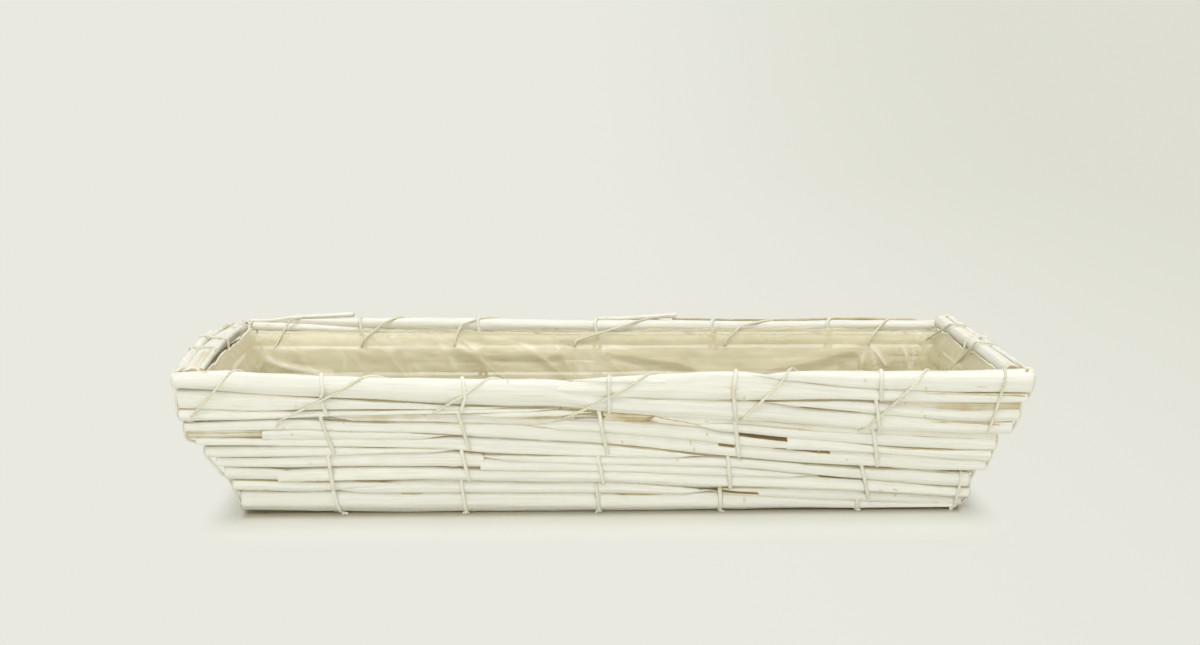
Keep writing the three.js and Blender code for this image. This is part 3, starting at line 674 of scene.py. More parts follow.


# Recessed fillers (negative proud) mostly carry a large bare-wood share: tan that paints the shade in the
# recesses behind the front reeds
FRONT_TRACE: tuple[TracedReed, ...] = (
    TracedReed("rim_reed_1", "rim_reed_1", (
        (172, 376.5, 389), (178, 375, 390), (220, 373.5, 392), (256, 376, 395.5), (322, 378.4, 398.5),
        (400, 381, 402), (457, 382, 406), (514, 382.4, 408), (550, 382.4, 408), (572, 383.5, 409),
        (592, 390, 411), (614, 397, 413.8), (649, 399.5, 415.7), (707, 401, 420), (734, 401.3, 421.6),
        (766, 402.5, 423), (795, 406.2, 425), (825, 409.3, 428.5), (854, 411.8, 430.8), (883, 415, 432),
        (913, 417, 432.6), (957, 421.4, 435), (1001, 422, 434.8), (1013, 422, 433.8),
    )),
    TracedReed("rim_reed_2", None, (
        (538, 390.4, 391.6), (552, 386.4, 392.2), (567, 382.4, 393), (582, 381, 394.6), (607, 380, 396.8),
        (649, 376.8, 400), (687, 375.2, 401), (734, 373.2, 401), (766, 377, 401), (795, 381, 400),
        (830, 385.5, 399), (854, 388, 399), (883, 389.6, 400.3), (913, 391.3, 401.3), (957, 393.4, 402),
        (1001, 393.4, 402), (1028, 392.8, 400.8),
    ), start=POINTED, proud=0.8),
    TracedReed("rim_reed_3", "rim_reed_2", (
        (752, 374.5, 376.6), (770, 373, 378.6), (800, 372, 381.3), (830, 373.4, 385.8), (854, 374, 388.4),
        (883, 375, 389.8), (913, 374, 391.6), (957, 374.5, 393.6), (1001, 372.5, 394), (1035, 372, 394.4),
    ), start=POINTED),
    TracedReed("rim_splint_1", None, (
        (566, 380, 382.2), (585, 378.8, 382), (608, 378.8, 382.4), (640, 379, 382.8), (667, 379.6, 384.2),
    ), start=POINTED, proud=-1.6),
    TracedReed("upper_reed_1", "upper_reed_2", (
        (176, 391, 409.5), (200, 392.5, 411.2), (265, 396, 412), (320, 399, 409.3), (371, 401.2, 408.8),
        (400, 402.4, 408.5), (450, 405, 408.5), (508, 406.8, 408.2),
    ), end=POINTED),
    TracedReed("upper_reed_2", "upper_reed_1", (
        (178, 409.4, 421.5), (250, 410.4, 420), (300, 411, 417), (330, 410, 415.6), (400, 409, 413.6),
        (450, 408.4, 412.6), (500, 408, 411.4), (560, 407.8, 408.8),
    ), end=POINTED),
    TracedReed("upper_reed_3", None, (
        (462, 413.2, 415.2), (500, 411, 416), (560, 409, 414.6), (592, 411.5, 413.8),
    ), start=POINTED, end=POINTED),
    TracedReed("upper_splint_1", None, (
        (318, 414, 421), (370, 413, 424), (432, 413, 424.5), (470, 414, 425.5), (520, 415, 427.5),
        (575, 415.5, 429),
    ), start=POINTED, proud=-3.0, bark_and_shade=0.62),
    TracedReed("upper_splint_2", None, (
        (603, 411.5, 424), (630, 412.2, 424.6), (650, 413.4, 424.4), (672, 415, 423),
    ), end=POINTED, proud=-2.6, bark_and_shade=0.8),
    TracedReed("upper_splint_3", None, (
        (632, 413, 425), (680, 415.5, 428), (735, 419, 434), (800, 426, 440), (850, 428.5, 444),
        (900, 430, 446), (960, 433, 447), (998, 432.5, 447),
    ), start=POINTED, proud=-2.9, bark_and_shade=0.18),
    TracedReed("upper_reed_4", None, (
        (760, 400.6, 402), (795, 400, 405), (825, 400.4, 408.5), (854, 400.8, 411.2), (883, 403.5, 414.6),
        (913, 407, 416.6), (957, 409.4, 421), (1001, 409.4, 422), (1020, 408.5, 421.6),
    ), start=POINTED),
    TracedReed("middle_reed_1", "middle_reed_2", (
        (184, 423, 431), (250, 421, 430), (300, 419, 428.5), (350, 423, 431.3), (400, 423, 432.3),
        (450, 424, 434), (480, 425, 437.5), (550, 427, 441), (600, 430.5, 444), (640, 434, 447.3),
        (690, 438.5, 453), (735, 445, 457), (780, 448, 462), (830, 449.5, 465), (880, 451, 468),
        (920, 454, 470), (950, 457.5, 471), (986, 461, 470.8),
    )),
    TracedReed("middle_reed_2", "middle_reed_3", (
        (530, 424.5, 428.5), (560, 420, 430), (597, 419.5, 431.5), (610, 420.5, 433), (650, 423.5, 436.5),
        (690, 427, 439.5), (735, 432, 445.5), (775, 437, 448), (808, 441, 449),
    ), start=POINTED),
    TracedReed("middle_reed_3", None, (
        (686, 422, 426), (707, 423, 429), (738, 424, 431.5), (785, 428, 437), (830, 432.5, 440),
        (883, 434.5, 446), (940, 437.5, 449), (996, 438.5, 450),
    ), start=POINTED),
    TracedReed("middle_reed_4", None, (
        (787, 434.5, 449.3), (830, 439.7, 449.8), (860, 443.5, 450.5), (880, 445.8, 451.2),
        (900, 447, 452.7), (940, 449, 456.7), (991, 450, 460.5),
    ), proud=0.9),
    TracedReed("middle_reed_5", None, (
        (262, 430, 438), (300, 428.3, 438), (350, 431, 440), (400, 432, 438.6), (450, 433.6, 437),
    ), end=POINTED, proud=0.6),
    TracedReed("middle_reed_6", None, (
        (186, 431, 440), (230, 430, 440), (270, 430, 439), (300, 430, 437),
    ), proud=-3.4, bark_and_shade=0.6),
    TracedReed("rim_splint_2", None, (
        (868, 400, 406), (890, 400.5, 410), (930, 401, 412), (980, 401.5, 412.5), (1021, 401, 412),
    ), start=POINTED, proud=-3.0, bark_and_shade=0.85),
    TracedReed("middle_reed_7", "middle_reed_1", (
        (196, 437.3, 444), (300, 438.4, 444.8), (400, 438, 447), (450, 437.5, 448.3), (480, 438, 453),
        (550, 441.3, 455.4), (600, 444.3, 456.4), (640, 447.3, 456.4), (690, 453, 456.6),
        (704, 454.8, 456.6),
    ), end=POINTED),
    TracedReed("lower_reed_1", None, (
        (205, 446.5, 457), (250, 446.5, 457), (300, 446, 456.2), (380, 447.4, 452.4), (463, 447.8, 450.4),
    ), end=POINTED),
    TracedReed("lower_reed_2", None, (
        (216, 457.6, 466), (250, 457.8, 466.4), (300, 457, 467), (380, 452.6, 466.6), (450, 451, 466.6),
        (484, 455.5, 467.2),
    )),
    TracedReed("lower_reed_3", "lower_reed_2", (
        (474, 453.5, 457.5), (520, 454.6, 460), (560, 455.4, 462), (600, 455.6, 463.6), (649, 456, 464.6),
        (690, 456.6, 465.8), (740, 458.4, 467.4), (800, 464, 473), (860, 468, 479), (920, 471.5, 484),
        (969, 474.8, 487.5),
    ), start=POINTED),
    TracedReed("lower_reed_9", None, (
        (480, 458.6, 470.4), (543, 459.6, 470.2), (600, 462.4, 470.4), (649, 463.6, 471.4),
        (690, 465, 473.2), (740, 466.8, 475), (790, 471.6, 476), (818, 474, 476.6),
    ), end=POINTED, proud=0.6),
    TracedReed("lower_reed_4", "lower_reed_1", (
        (277, 471, 482), (320, 468.3, 481.3), (380, 467.6, 480.3), (450, 467.6, 479), (480, 470, 480),
        (550, 469.8, 481.6), (600, 470, 481), (649, 471, 484), (690, 472.8, 487.4), (740, 474.6, 487),
        (800, 475.4, 489.4), (860, 478.6, 491), (920, 484, 494), (969, 488, 497.5),
    ), proud=0.5),
    TracedReed("lower_reed_5", None, (
        (224, 466.6, 479), (250, 467.4, 479.3), (280, 469, 480), (330, 473, 478),
    )),
    TracedReed("lower_reed_6", None, (
        (233, 479.6, 489.6), (300, 481.6, 491.4), (330, 481.6, 490), (380, 481, 486), (404, 481.6, 483.4),
    ), end=POINTED),
    TracedReed("lower_reed_7", None, (
        (326, 487, 490.5), (371, 484.2, 492), (400, 481.4, 492.4), (460, 480.4, 492.8),
        (550, 482.6, 492.8), (600, 481.6, 493), (640, 483.4, 493.4), (685, 487, 493.2), (714, 489, 492.4),
    ), start=POINTED, end=POINTED),
    TracedReed("lower_reed_8", None, (
        (700, 488.2, 492), (740, 486.8, 494), (800, 489, 498.4), (860, 491, 501), (920, 494, 505),
        (961, 497, 505),
    ), start=POINTED),
    TracedReed("foot_reed", "foot_reed", (
        (241, 492, 511.5), (300, 492, 512), (350, 491, 512.4), (400, 492.8, 512.6), (500, 492.8, 512.6),
        (600, 492.8, 511.8), (700, 493, 510.6), (760, 493.6, 509.6), (800, 496, 509), (850, 498.6, 508.4),
        (900, 500, 507.6), (955, 500.5, 506.5),
    )),
)


# Dark lines of painted crevice shade over bare wood, deep and light, and flecks of the front wall: lines of
# pixels (column, row)
FRONT_DEEP_CREVICE_SHADE: tuple[Line, ...] = (
    ((801, 405.4), (860, 412)), ((738, 433.8), (786, 439.4)), ((775, 448), (830, 452)),
    ((718, 444), (735, 446)), ((820, 475.6), (863, 478)), ((594, 417.5), (604, 416.5)),
    ((700, 488.4), (758, 491.4)),
)
FRONT_CREVICE_SHADE: tuple[Line, ...] = (
    ((176, 390.4), (260, 394.6), (347, 399.2)), ((858, 399.8), (879, 401)), ((792, 474), (830, 476.4)),
    ((500, 491.6), (555, 491.8)), ((598, 492.2), (632, 492.6)), ((402, 493), (424, 493)),
    ((430, 437.6), (463, 436.4)), ((200, 444.6), (330, 446)), ((250, 480), (277, 480.4)),
    ((470, 403.6), (565, 408.4)), ((640, 415.5), (700, 425)), ((600, 443.5), (700, 453.5)),
    ((925, 393), (1025, 394.5)), ((930, 421), (1000, 424)),
)
FRONT_FLECKS: tuple[Line, ...] = (
    ((297, 404), (299, 408)), ((293, 432), (295, 436)), ((343, 420), (344, 422)),
    ((262, 489), (270, 488.6)), ((200, 372.5), (208, 373)), ((691, 441), (694, 449)),
    ((706, 432), (709, 434.5)), ((621, 439), (622, 441)), ((978, 385.5), (986, 385)),
    ((924, 382), (925, 388)), ((922, 410), (926, 418)), ((888, 480), (893, 480)),
    ((891, 486), (896, 487)), ((879, 487), (882, 489)), ((893, 495), (897, 494)),
    ((506, 383), (508, 382.6)), ((532, 383), (532, 388)), ((844, 458), (847, 457.6)),
)


@dataclass(frozen=True)
class TracedWallReeds:
    """Reeds of the front wall, traced from the picture, with the marks on them."""

    wall: Wall
    seed: int
    face: float = 5.6
    sight_plane: float = 2.5
    deepest: float = 6.2
    thinnest: float = 0.7
    spread: float = 0.05
    wander: float = 0.12
    foot_underside_shade: float = 0.06
    deep_crevice_shade_width: float = 1.5
    crevice_shade_width: float = 0.85
    fleck_width: float = 1.5
    foot_lift: float = 0.45
    around: int = 40

    def marks(self) -> list[Mark]:
        """Lines of painted crevice shade and flecks of the wall, from their pixels."""
        made = []
        kinds = (
            (MarkKind.SPLIT, FRONT_DEEP_CREVICE_SHADE, self.deep_crevice_shade_width),
            (MarkKind.CREVICE_SHADE, FRONT_CREVICE_SHADE, self.crevice_shade_width),
            (MarkKind.FLECK, FRONT_FLECKS, self.fleck_width),
        )
        for kind, lines, width in kinds:
            for line in lines:
                places = VIEW.on_wall(FRONT, *np.array(line, float).T, self.sight_plane)
                made.append(Mark(kind, np.stack(places, axis=1), width))
        return made

    def reeds(self) -> list[Reed]:
        """Lines of all reeds of the wall.

        A pixel station becomes a place on the wall by the camera's ray. The outsides of the reeds lie
        in one plane, so a thin reed lies further out than a thick one.

        Returns:
            The reeds, from the rim down.
        """
        rng = np.random.default_rng(self.seed)
        marks = self.marks()
        made = []
        for number, traced in enumerate(FRONT_TRACE):
            x, s, high = traced.on_wall(FRONT, self.sight_plane)
            high = np.maximum(high + self.spread, self.thinnest)
            deep = np.minimum(high * rng.uniform(0.86, 1.0), self.deepest)
            n = self.face + traced.proud + rng.uniform(-0.5, 0.3) - deep
            is_foot = traced.node == "foot_reed"
            if is_foot:
                deep, n = np.full_like(deep, LAYOUT.foot_radius), np.zeros_like(n)
                high, s = high - self.foot_lift, s + self.foot_lift
            made.append(Reed(
                f"{self.wall.name}_{traced.name}", self.wall, x, s, n, high, deep, self.seed + number,
                traced.node_on(self.wall), traced.start, traced.end, self.wander, self.around,
                bark_and_shade=traced.bark_and_shade, under=self.foot_underside_shade * is_foot, marks=marks,
            ))
        return made


@dataclass(frozen=True)
class LaidWallReeds:
    """Reeds of the back wall, laid course by course so that each course is filled.

    In every course above the foot one extra reed tapers to a point part of the way along. The top reed
    of the rim is left to the picture.
    """

    wall: Wall
    seed: int
    stations: int = 61
    face: float = 5.6
    deepest: float = 6.2
    thinnest: float = 0.07
    foot_lift: float = 0.9

    def shares(self, sizes: Sequence[float], x: Array, rng: Random) -> tuple[Array, Array]:
        """Share of a course's height that each reed takes at stations along it.

        Args:
            sizes: Thicknesses of the course's reeds.
            x: Stations, from -1 to 1.
            rng: Random numbers of the wall.

        Returns:
            Shares, one row for each reed, and which stations each reed reaches.
        """
        if len(sizes) == 2 and sizes[0] != sizes[1]:
            rows = np.array(sizes)[:, None] * np.stack([1 + 0.1 * x, 1 - 0.1 * x])
            return rows / rows.sum(axis=0), np.ones(rows.shape, bool)
        count = len(sizes) + 1
        weights = np.array([*sizes, 0.75 * float(np.mean(sizes))])
        order = rng.permutation(count)
        lean = rng.uniform(0.12, 0.3, count) * rng.choice([-1, 1], count)
        rows = weights[:, None] * (1 + lean[:, None] * x)
        tip = rng.uniform(-0.35, 0.35)
        way = rng.choice([-1, 1])
        rows[-1] *= smooth_step(way * (x - tip), 0.0, 0.7)
        partner = (count - 1 + rng.integers(1, count)) % count
        rows[partner] *= 1 - 0.55 * smooth_step(way * (x - tip), 0.0, 0.9)
        rows = rows[order]
        shares = rows / rows.sum(axis=0)
        return shares, shares > self.thinnest

    def reeds(self) -> list[Reed]:
        """Lines of all reeds of the wall, from the foot up."""
        rng = np.random.default_rng(self.seed)
        made = []
        for course, sizes in enumerate(LAYOUT.long_reeds):
            bottom, top = LAYOUT.levels[course]
            half = float(self.wall.half_along((bottom + top) / 2))
            part = np.linspace(-1, 1, self.stations)
            if course:
                shares, reached = self.shares(sizes, part, rng)
            else:
                shares, reached = np.ones((1, self.stations)), np.ones((1, self.stations), bool)
            edges = bottom + (top - bottom) * np.concatenate([0 * shares[:1], np.cumsum(shares, axis=0)])
            whole = [row for row in range(len(shares)) if reached[row].all()]
            laid = len(shares) - (course == len(LAYOUT.long_reeds) - 1)
            for row in range(laid):
                keep = reached[row]
                number = whole.index(row) + 1 if row in whole else 0
                is_node = 0 < number <= len(sizes)
                label = f"_{number}" if len(sizes) > 1 else ""
                node = f"{self.wall.name}_{LAYOUT.names[course]}_reed{label}"
                high = (edges[row + 1] - edges[row])[keep] / 2
                ends = half - rng.uniform(0, 4, 2)
                x = np.interp(part[keep], [-1, 1], [-ends[0], ends[1]])
                middle = ((edges[row + 1] + edges[row]) / 2)[keep]
                if not course:
                    high = high - self.foot_lift
                    middle = middle + self.foot_lift
                deep = np.minimum(high, self.deepest if course else LAYOUT.foot_radius)
                n = self.face + rng.uniform(-0.6, 0.3) - deep if course else 0 * deep
                made.append(Reed(
                    node if is_node else f"{self.wall.name}_{LAYOUT.names[course]}_splint_{row + 1}",
                    self.wall, x, middle, n, high * 1.02, deep, self.seed + 10 * course + row,
                    node if is_node else None, SAWN if keep[0] else POINTED,
                    SAWN if keep[-1] else POINTED,
                ))
        return made


# Top of the back rim: pixel columns with upper and lower rows, right end of the wall first
BACK_TRACE: tuple[TracedReed, ...] = (
    TracedReed("rim_reed_2", "rim_reed_2", (
        (941, 319.6, 331.6), (850, 319.6, 331.4), (760, 320.6, 331.2), (680, 319.4, 331.6),
        (600, 319.6, 332.2), (520, 318, 331.6), (480, 317.8, 331.6), (420, 317.4, 330.2),
        (356, 317.6, 327.2), (300, 317.8, 323.6), (262, 318.8, 320.6),
    ), end=POINTED),
    TracedReed("rim_splint_4", None, (
        (500, 331.4, 333.2), (430, 329.6, 333), (356, 326.4, 332.4), (300, 323, 331.2), (262, 321, 329.8),
        (238, 320.8, 329),
    ), start=POINTED),
)


@dataclass(frozen=True)
class BackRimReeds:
    """Top reeds of the back rim, traced from the picture."""

    seed: int = 470
    sight_plane: float = -3.0
    wander: float = 0.25

    def reeds(self) -> list[Reed]:
        """Lines of the reeds: round across, with their middles on the wall's middle plane."""
        made = []
        for number, traced in enumerate(BACK_TRACE):
            x, s, high = traced.on_wall(BACK, self.sight_plane)
            made.append(Reed(
                f"back_{traced.name}", BACK, x, s, 0 * high, high, high, self.seed + number,
                traced.node_on(BACK), traced.start, traced.end, self.wander,
            ))
        return made


@dataclass(frozen=True)
class RimSplint:
    """Thin split reed that lies on a rim: its ends as pixel columns and how far each end stands up."""

    first: float
    last: float
    rise_first: float
    rise_last: float
    out: float
    high: float
    bark_and_shade: float = 0.0


BACK_SPLINTS: tuple[RimSplint, ...] = (
    RimSplint(250, 354, 0.4, 2.6, -0.5, 2.0, 0.1), RimSplint(598, 676, 0.4, 3.6, -0.5, 2.1, 0.1),
    RimSplint(672, 944, 0.5, 0.7, 0.5, 1.2, 0.62),
)


@dataclass(frozen=True)
class BackRimSplints:
    """Loose splints on the back rim."""

    walled: "ReedWall"
    seed: int = 480
    stations: int = 12
    sight_row: float = 319.0

    def reeds(self) -> list[Reed]:
        """Lines of the splints: each follows the top of the rim and lifts off towards its free end."""
        made = []
        for number, splint in enumerate(BACK_SPLINTS):
            columns = np.linspace(splint.last, splint.first, self.stations)
            x, _ = VIEW.on_wall(BACK, columns, np.full(self.stations, self.sight_row), 0.0)
            tops = np.array([self.walled.top(float(place)) for place in x])
            share = np.linspace(1, 0, self.stations)
            rise = splint.rise_first + (splint.rise_last - splint.rise_first) * share**2
            high = splint.high * (0.7 + 0.3 * share)
            made.append(Reed(
                f"back_rim_splint_{number + 1}", BACK, x, tops[:, 0] + tops[:, 2] + rise + 0.3 * high,
                tops[:, 1] + splint.out, high, 1.3 * high, self.seed + number, wander=0.1, around=18,
                bark_and_shade=splint.bark_and_shade,
            ))
        return made


@dataclass(frozen=True)
class EndSplint:
    """Thin reed that lies on the top reed of an end wall.

    Its ends are shares of the wall from the back (0) to the front (1), its side is an angle in degrees
    from level outwards, and its last end lifts off by some millimetres.
    """

    first: float
    last: float
    angle: float
    radius: float
    bark_and_shade: float = 0.0
    lift: float = 0.0


@dataclass(frozen=True)
class EndWallReeds:
    """Shorter reeds of an end wall, which butt against the insides of the long walls.

    The top reed stands a little above its course. It may bow outwards and drop towards the back.
    """

    wall: Wall
    seed: int
    splints: tuple[EndSplint, ...]
    rim_radius: float
    rim_taper: float
    bark_and_shade: float
    rim_out: float = 0.0
    rim_arch: float = 0.0
    rim_drop: float = 0.0
    rim_lift: float = 4.0
    stations: int = 13
    outwards: float = 0.4
    thickest: float = 6.6
    short: float = 5.6
    foot_lift: float = 0.9

    def from_back(self, x: Array, half: float) -> Array:
        """Share of the way from the back end of the wall (0) to its front end (1)."""
        return (1 - self.wall.axes[0][1] * x / half) / 2

    def lift(self, share: Array) -> Array:
        """Height of the top reed above its course, which falls by the share rim_drop towards the back."""
        return self.rim_lift * (1 - self.rim_drop * np.clip(1 - share, 0, 1) ** 2)

    def top_line(self, x: Array, half: float, middle: float) -> tuple[Array, Array, Array]:
        """Places up the slope, places outwards and radii of the top reed at places along the wall."""
        share = self.from_back(x, half)
        up = self.lift(share) + self.rim_arch * np.sin(math.pi * np.clip(share, 0, 1))
        rise, out = self.wall.turned(self.rim_out * (1 - share**3), up)
        radius = self.rim_radius * (1 - self.rim_taper * (1 - share))
        return middle + rise, out, radius

    def reeds(self) -> list[Reed]:
        """Lines of all reeds of the wall, from the foot up, with thickness that varies along them."""
        rng = np.random.default_rng(self.seed)
        made = []
        for course, count in enumerate(LAYOUT.end_reeds):
            bottom, top = (level * (self.wall.scale if course else 1) for level in LAYOUT.levels[course])
            split = rng.uniform(0.4, 0.6) if count == 2 else 1.0
            edges = [bottom, bottom + split * (top - bottom), top][: count + 1]
            for j in range(count):
                middle = (edges[j] + edges[j + 1]) / 2
                radius = (edges[j + 1] - edges[j]) / 2
                half = float(self.wall.half_along(middle - radius)) - self.short
                x = np.linspace(-half, half, self.stations)
                lean = rng.uniform(-0.16, 0.16) * x / half
                high = radius * (1.02 + lean)
                s = middle + radius * lean * (1 if j == 0 else -1)
                n = self.outwards + 0 * x if course else 0 * x
                if not course:
                    high, s = high - self.foot_lift, s + self.foot_lift
                if course == len(LAYOUT.end_reeds) - 1:
                    s, n, high = self.rim_course(j, x, half, middle, s, n, high)
                deep = np.minimum(1.12 * high, self.thickest)
                label = f"_{j + 1}" if count > 1 else ""
                name = f"{self.wall.name}_{LAYOUT.names[course]}_reed{label}"
                made.append(Reed(
                    name, self.wall, x, s, n, high, deep, self.seed + 10 * course + j, name,
                    bark_and_shade=self.bark_and_shade,
                ))
        return made + self.rim_splints(half, middle, rng)

    def rim_course(
        self, row: int, x: Array, half: float, middle: float, s: Array, n: Array, high: Array
    ) -> tuple[Array, Array, Array]:
        """Lines of the rim course: the top reed on its own line, the one below swollen to meet it.

        Args:
            row: Which of the two reeds, from below.
            x: Places along the wall.
            half: Half length of the reed.
            middle: Place of the reed up the slope in its course.
            s: Places up the slope so far.
            n: Places outwards so far.
            high: Half heights so far.

        Returns:
            Places up the slope, places outwards and half heights.
        """
        if row:
            return self.top_line(x, half, middle)
        share = self.from_back(x, half)
        grown = self.lift(share) / 2 + 0.4 * self.rim_arch * np.sin(math.pi * share)
        return s + grown, n + 0.8 * self.rim_out * (1 - share**3), high + grown

    def rim_splints(self, half: float, middle: float, rng: Random) -> list[Reed]:
        """Thin reeds laid against the top reed.

        Args:
            half: Half length of the top reed.
            middle: Place of the top reed up the slope in its course.
            rng: Random numbers of the wall.

        Returns:
            The splints, each touching the top reed on its own side.
        """
        made = []
        for number, splint in enumerate(self.splints):
            share = np.linspace(splint.first, splint.last, self.stations)
            x = (1 - 2 * share) * half * self.wall.axes[0][1]
            order = np.argsort(x)
            s, n, radius = self.top_line(x, half, middle)
            angle = math.radians(splint.angle)
            apart = radius + 0.85 * splint.radius
            rising = splint.lift * np.linspace(0, 1, self.stations) ** 2
            up, out = self.wall.turned(apart * math.cos(angle), apart * math.sin(angle) + rising)
            high = splint.radius * (1 + rng.uniform(-0.15, 0.15) * np.linspace(-1, 1, self.stations))
            made.append(Reed(
                f"{self.wall.name}_rim_splint_{number + 1}", self.wall, x[order], (s + up)[order],
                (n + out)[order], high[order], 0.9 * high[order], self.seed + 70 + number, wander=0.3,
                around=20, bark_and_shade=splint.bark_and_shade,
            ))
        return made


LEFT_SPLINTS = (
    EndSplint(1.05, 0.36, 14, 3.3, 0.3, 2.5), EndSplint(0.99, 0.15, 152, 2.0, 0.25),
    EndSplint(0.47, 0.02, 34, 2.0, 0.4),
)
RIGHT_SPLINTS = (EndSplint(1.06, -0.03, 36, 1.8, 0.25),)


@dataclass(frozen=True)
class BaseReeds:
    """Lengthwise reeds of the base, lying between the foot reeds."""

    seed: int = 900
    end_room: float = 1.09
    end_gap: float = 1.0
    # Bare wood of the base reeds, which also paints the shade under the basket
    bark_and_shade: float = 0.5

    def reeds(self) -> list[Reed]:
        """Lines of the base reeds on an upright plane through each of them."""
        rng = np.random.default_rng(self.seed)
        half = END_REACH - LAYOUT.foot_radius * self.end_room - self.end_gap
        made = []
        for number, y in enumerate(LAYOUT.base_places):
            plane = Wall(f"base_{number + 1}", 0.0, -float(y), 0.0, True)
            x = np.linspace(-half, half, 9)
            radius = LAYOUT.base_reed / 2
            taper = rng.choice([-1, 1]) * rng.uniform(0.06, 0.16)
            high = radius * (0.97 + taper * x / half)
            rise = LAYOUT.base_height - LAYOUT.foot_centre
            name = f"base_reed_{number + 1}"
            zero = np.zeros_like(x)
            made.append(Reed(
                name, plane, x, zero + rise, zero, high, high, self.seed + number, name, bark_and_shade=self.bark_and_shade,
            ))
        return made


@dataclass
class ReedWall:
    """Reeds of one wall, as the twine meets them."""

    wall: Wall
    reeds: list[Reed]
    samples: int = 33
    gap_reach: float = -3.0
    dive: float = 1.5
    thin_tip: float = 1.2
    thin_top: float = 1.5

    def edge(self, x: Array, s: Array, side: int, spare: float) -> Array:
        """Reach of the reeds outwards (side 1) or inwards (side -1) at places, plus spare.

        Each reed is an ellipse across; its edge at s is deep sqrt(1 - ((s - middle) / high)^2).

        Args:
            x: Places along the wall.
            s: Places up the slope.
            side: Outside or inside.
            spare: Growth of every ellipse.

        Returns:
            The reach on that side, counted positive away from the wall's middle.
        """
        parts = [reed.section(x) for reed in self.reeds]
        middle, n, high, deep = (np.array([part[k] for part in parts]) for k in range(4))
        there = high > 0
        share = (s - middle) / (high + spare)
        bulge = (deep + spare) * np.sqrt(np.clip(1 - share**2, 0, None))
        reach = np.where(there & (np.abs(share) < 1), side * n + bulge, self.gap_reach)
        return reach.max(axis=0)

    def lay(
        self, start: tuple[float, float], stop: tuple[float, float], side: int, spare: float,
        dives: tuple[bool, bool] = (True, True),
    ) -> Array:
        """Points of twine laid taut over the reeds between two places (x, s) on one side.

        Args:
            start: Place along the wall and up its slope where the twine starts.
            stop: Place where it ends.
            side: Outside (1) or inside (-1).
            spare: Distance of the twine's middle from the reeds.
            dives: Whether the twine goes between the reeds at its start and at its end.

        Returns:
            The points.
        """
        share = np.linspace(0, 1, self.samples)
        x = start[0] + (stop[0] - start[0]) * share
        s = start[1] + (stop[1] - start[1]) * share
        reach = self.edge(x, s, side, spare)
        for place, goes_in in zip((0, -1), dives):
            if goes_in:
                reach[place] = min(reach[place], self.dive)
        return self.wall.point(x, s, side * taut(reach))

    def tips(self, s: Array, sign: int, spare: float) -> Array:
        """Reach of the reed ends from the wall's middle at places up the slope.

        An end counts as a dome as high as its reed. Places between two reeds take a straight line.

        Args:
            s: Places up the slope, rising or falling.
            sign: End of the wall, 1 or -1.
            spare: Distance of the twine's middle from the ends.

        Returns:
            The reach at each place.
        """
        last = -1 if sign > 0 else 0
        reach = np.full(len(s), -np.inf)
        for reed in self.reeds:
            if reed.high[last] > self.thin_tip:
                apart = np.abs(s - reed.s[last]) / (reed.high[last] + 0.5)
                fall = 1 - np.sqrt(np.clip(1 - apart**2, 0, 1))
                dome = sign * float(reed.x[last]) + spare - 2.0 * fall
                reach = np.where(apart < 1, np.maximum(reach, dome), reach)
        known = np.isfinite(reach)
        order = np.argsort(s[known])
        return np.interp(s, s[known][order], reach[known][order])

    def top(self, x: float) -> tuple[float, float, float, float]:
        """Middle and half sizes of the highest reed at a place along the wall."""
        parts = [tuple(float(v) for v in reed.section(np.array(x))) for reed in self.reeds]
        present = [part for part in parts if part[2] > self.thin_top]
        return max(present, key=lambda part: part[0] + part[2])

    def crown(self, x: Array, n: Array, spare: float) -> Array:
        """Height up the slope of the reeds at places along and across the wall, plus spare."""
        parts = [reed.section(x) for reed in self.reeds]
        s, middle, high, deep = (np.array([part[k] for part in parts]) for k in range(4))
        share = (n - middle) / (deep + spare)
        bulge = (high + spare) * np.sqrt(np.clip(1 - share**2, 0, None))
        return np.where((high > 0) & (np.abs(share) <= 1), s + bulge, 0.0).max(axis=0)

    def over_rim(self, x_in: float, x_out: float, spare: float, inside: float = 0.0) -> Array:
        """Twine taut over the rim from the inside to the outside.

        Args:
            x_in: Place along the wall on the inside.
            x_out: Place along the wall on the outside.
            spare: Distance of the twine's middle from the reeds.
            inside: Distance of the inside end from the wall's middle where more than the reed's.

        Returns:
            Points from the inside over the top to the outside.
        """
        s, n, _, deep = self.top((x_in + x_out) / 2)
        inner, outer = min(n - deep - spare, -inside), n + deep + spare
        share = (1 - np.cos(np.linspace(0, math.pi, 33))) / 2
        x = x_in + (x_out - x_in) * share
        across = inner + (outer - inner) * share
        heights = self.crown(x, across, spare)
        heights[[0, -1]] = s
        heights = taut(heights, across)
        run = np.append(0, np.cumsum(np.hypot(np.diff(across), np.diff(heights))))
        return self.wall.point(x_in + (x_out - x_in) * run / run[-1], heights, across)


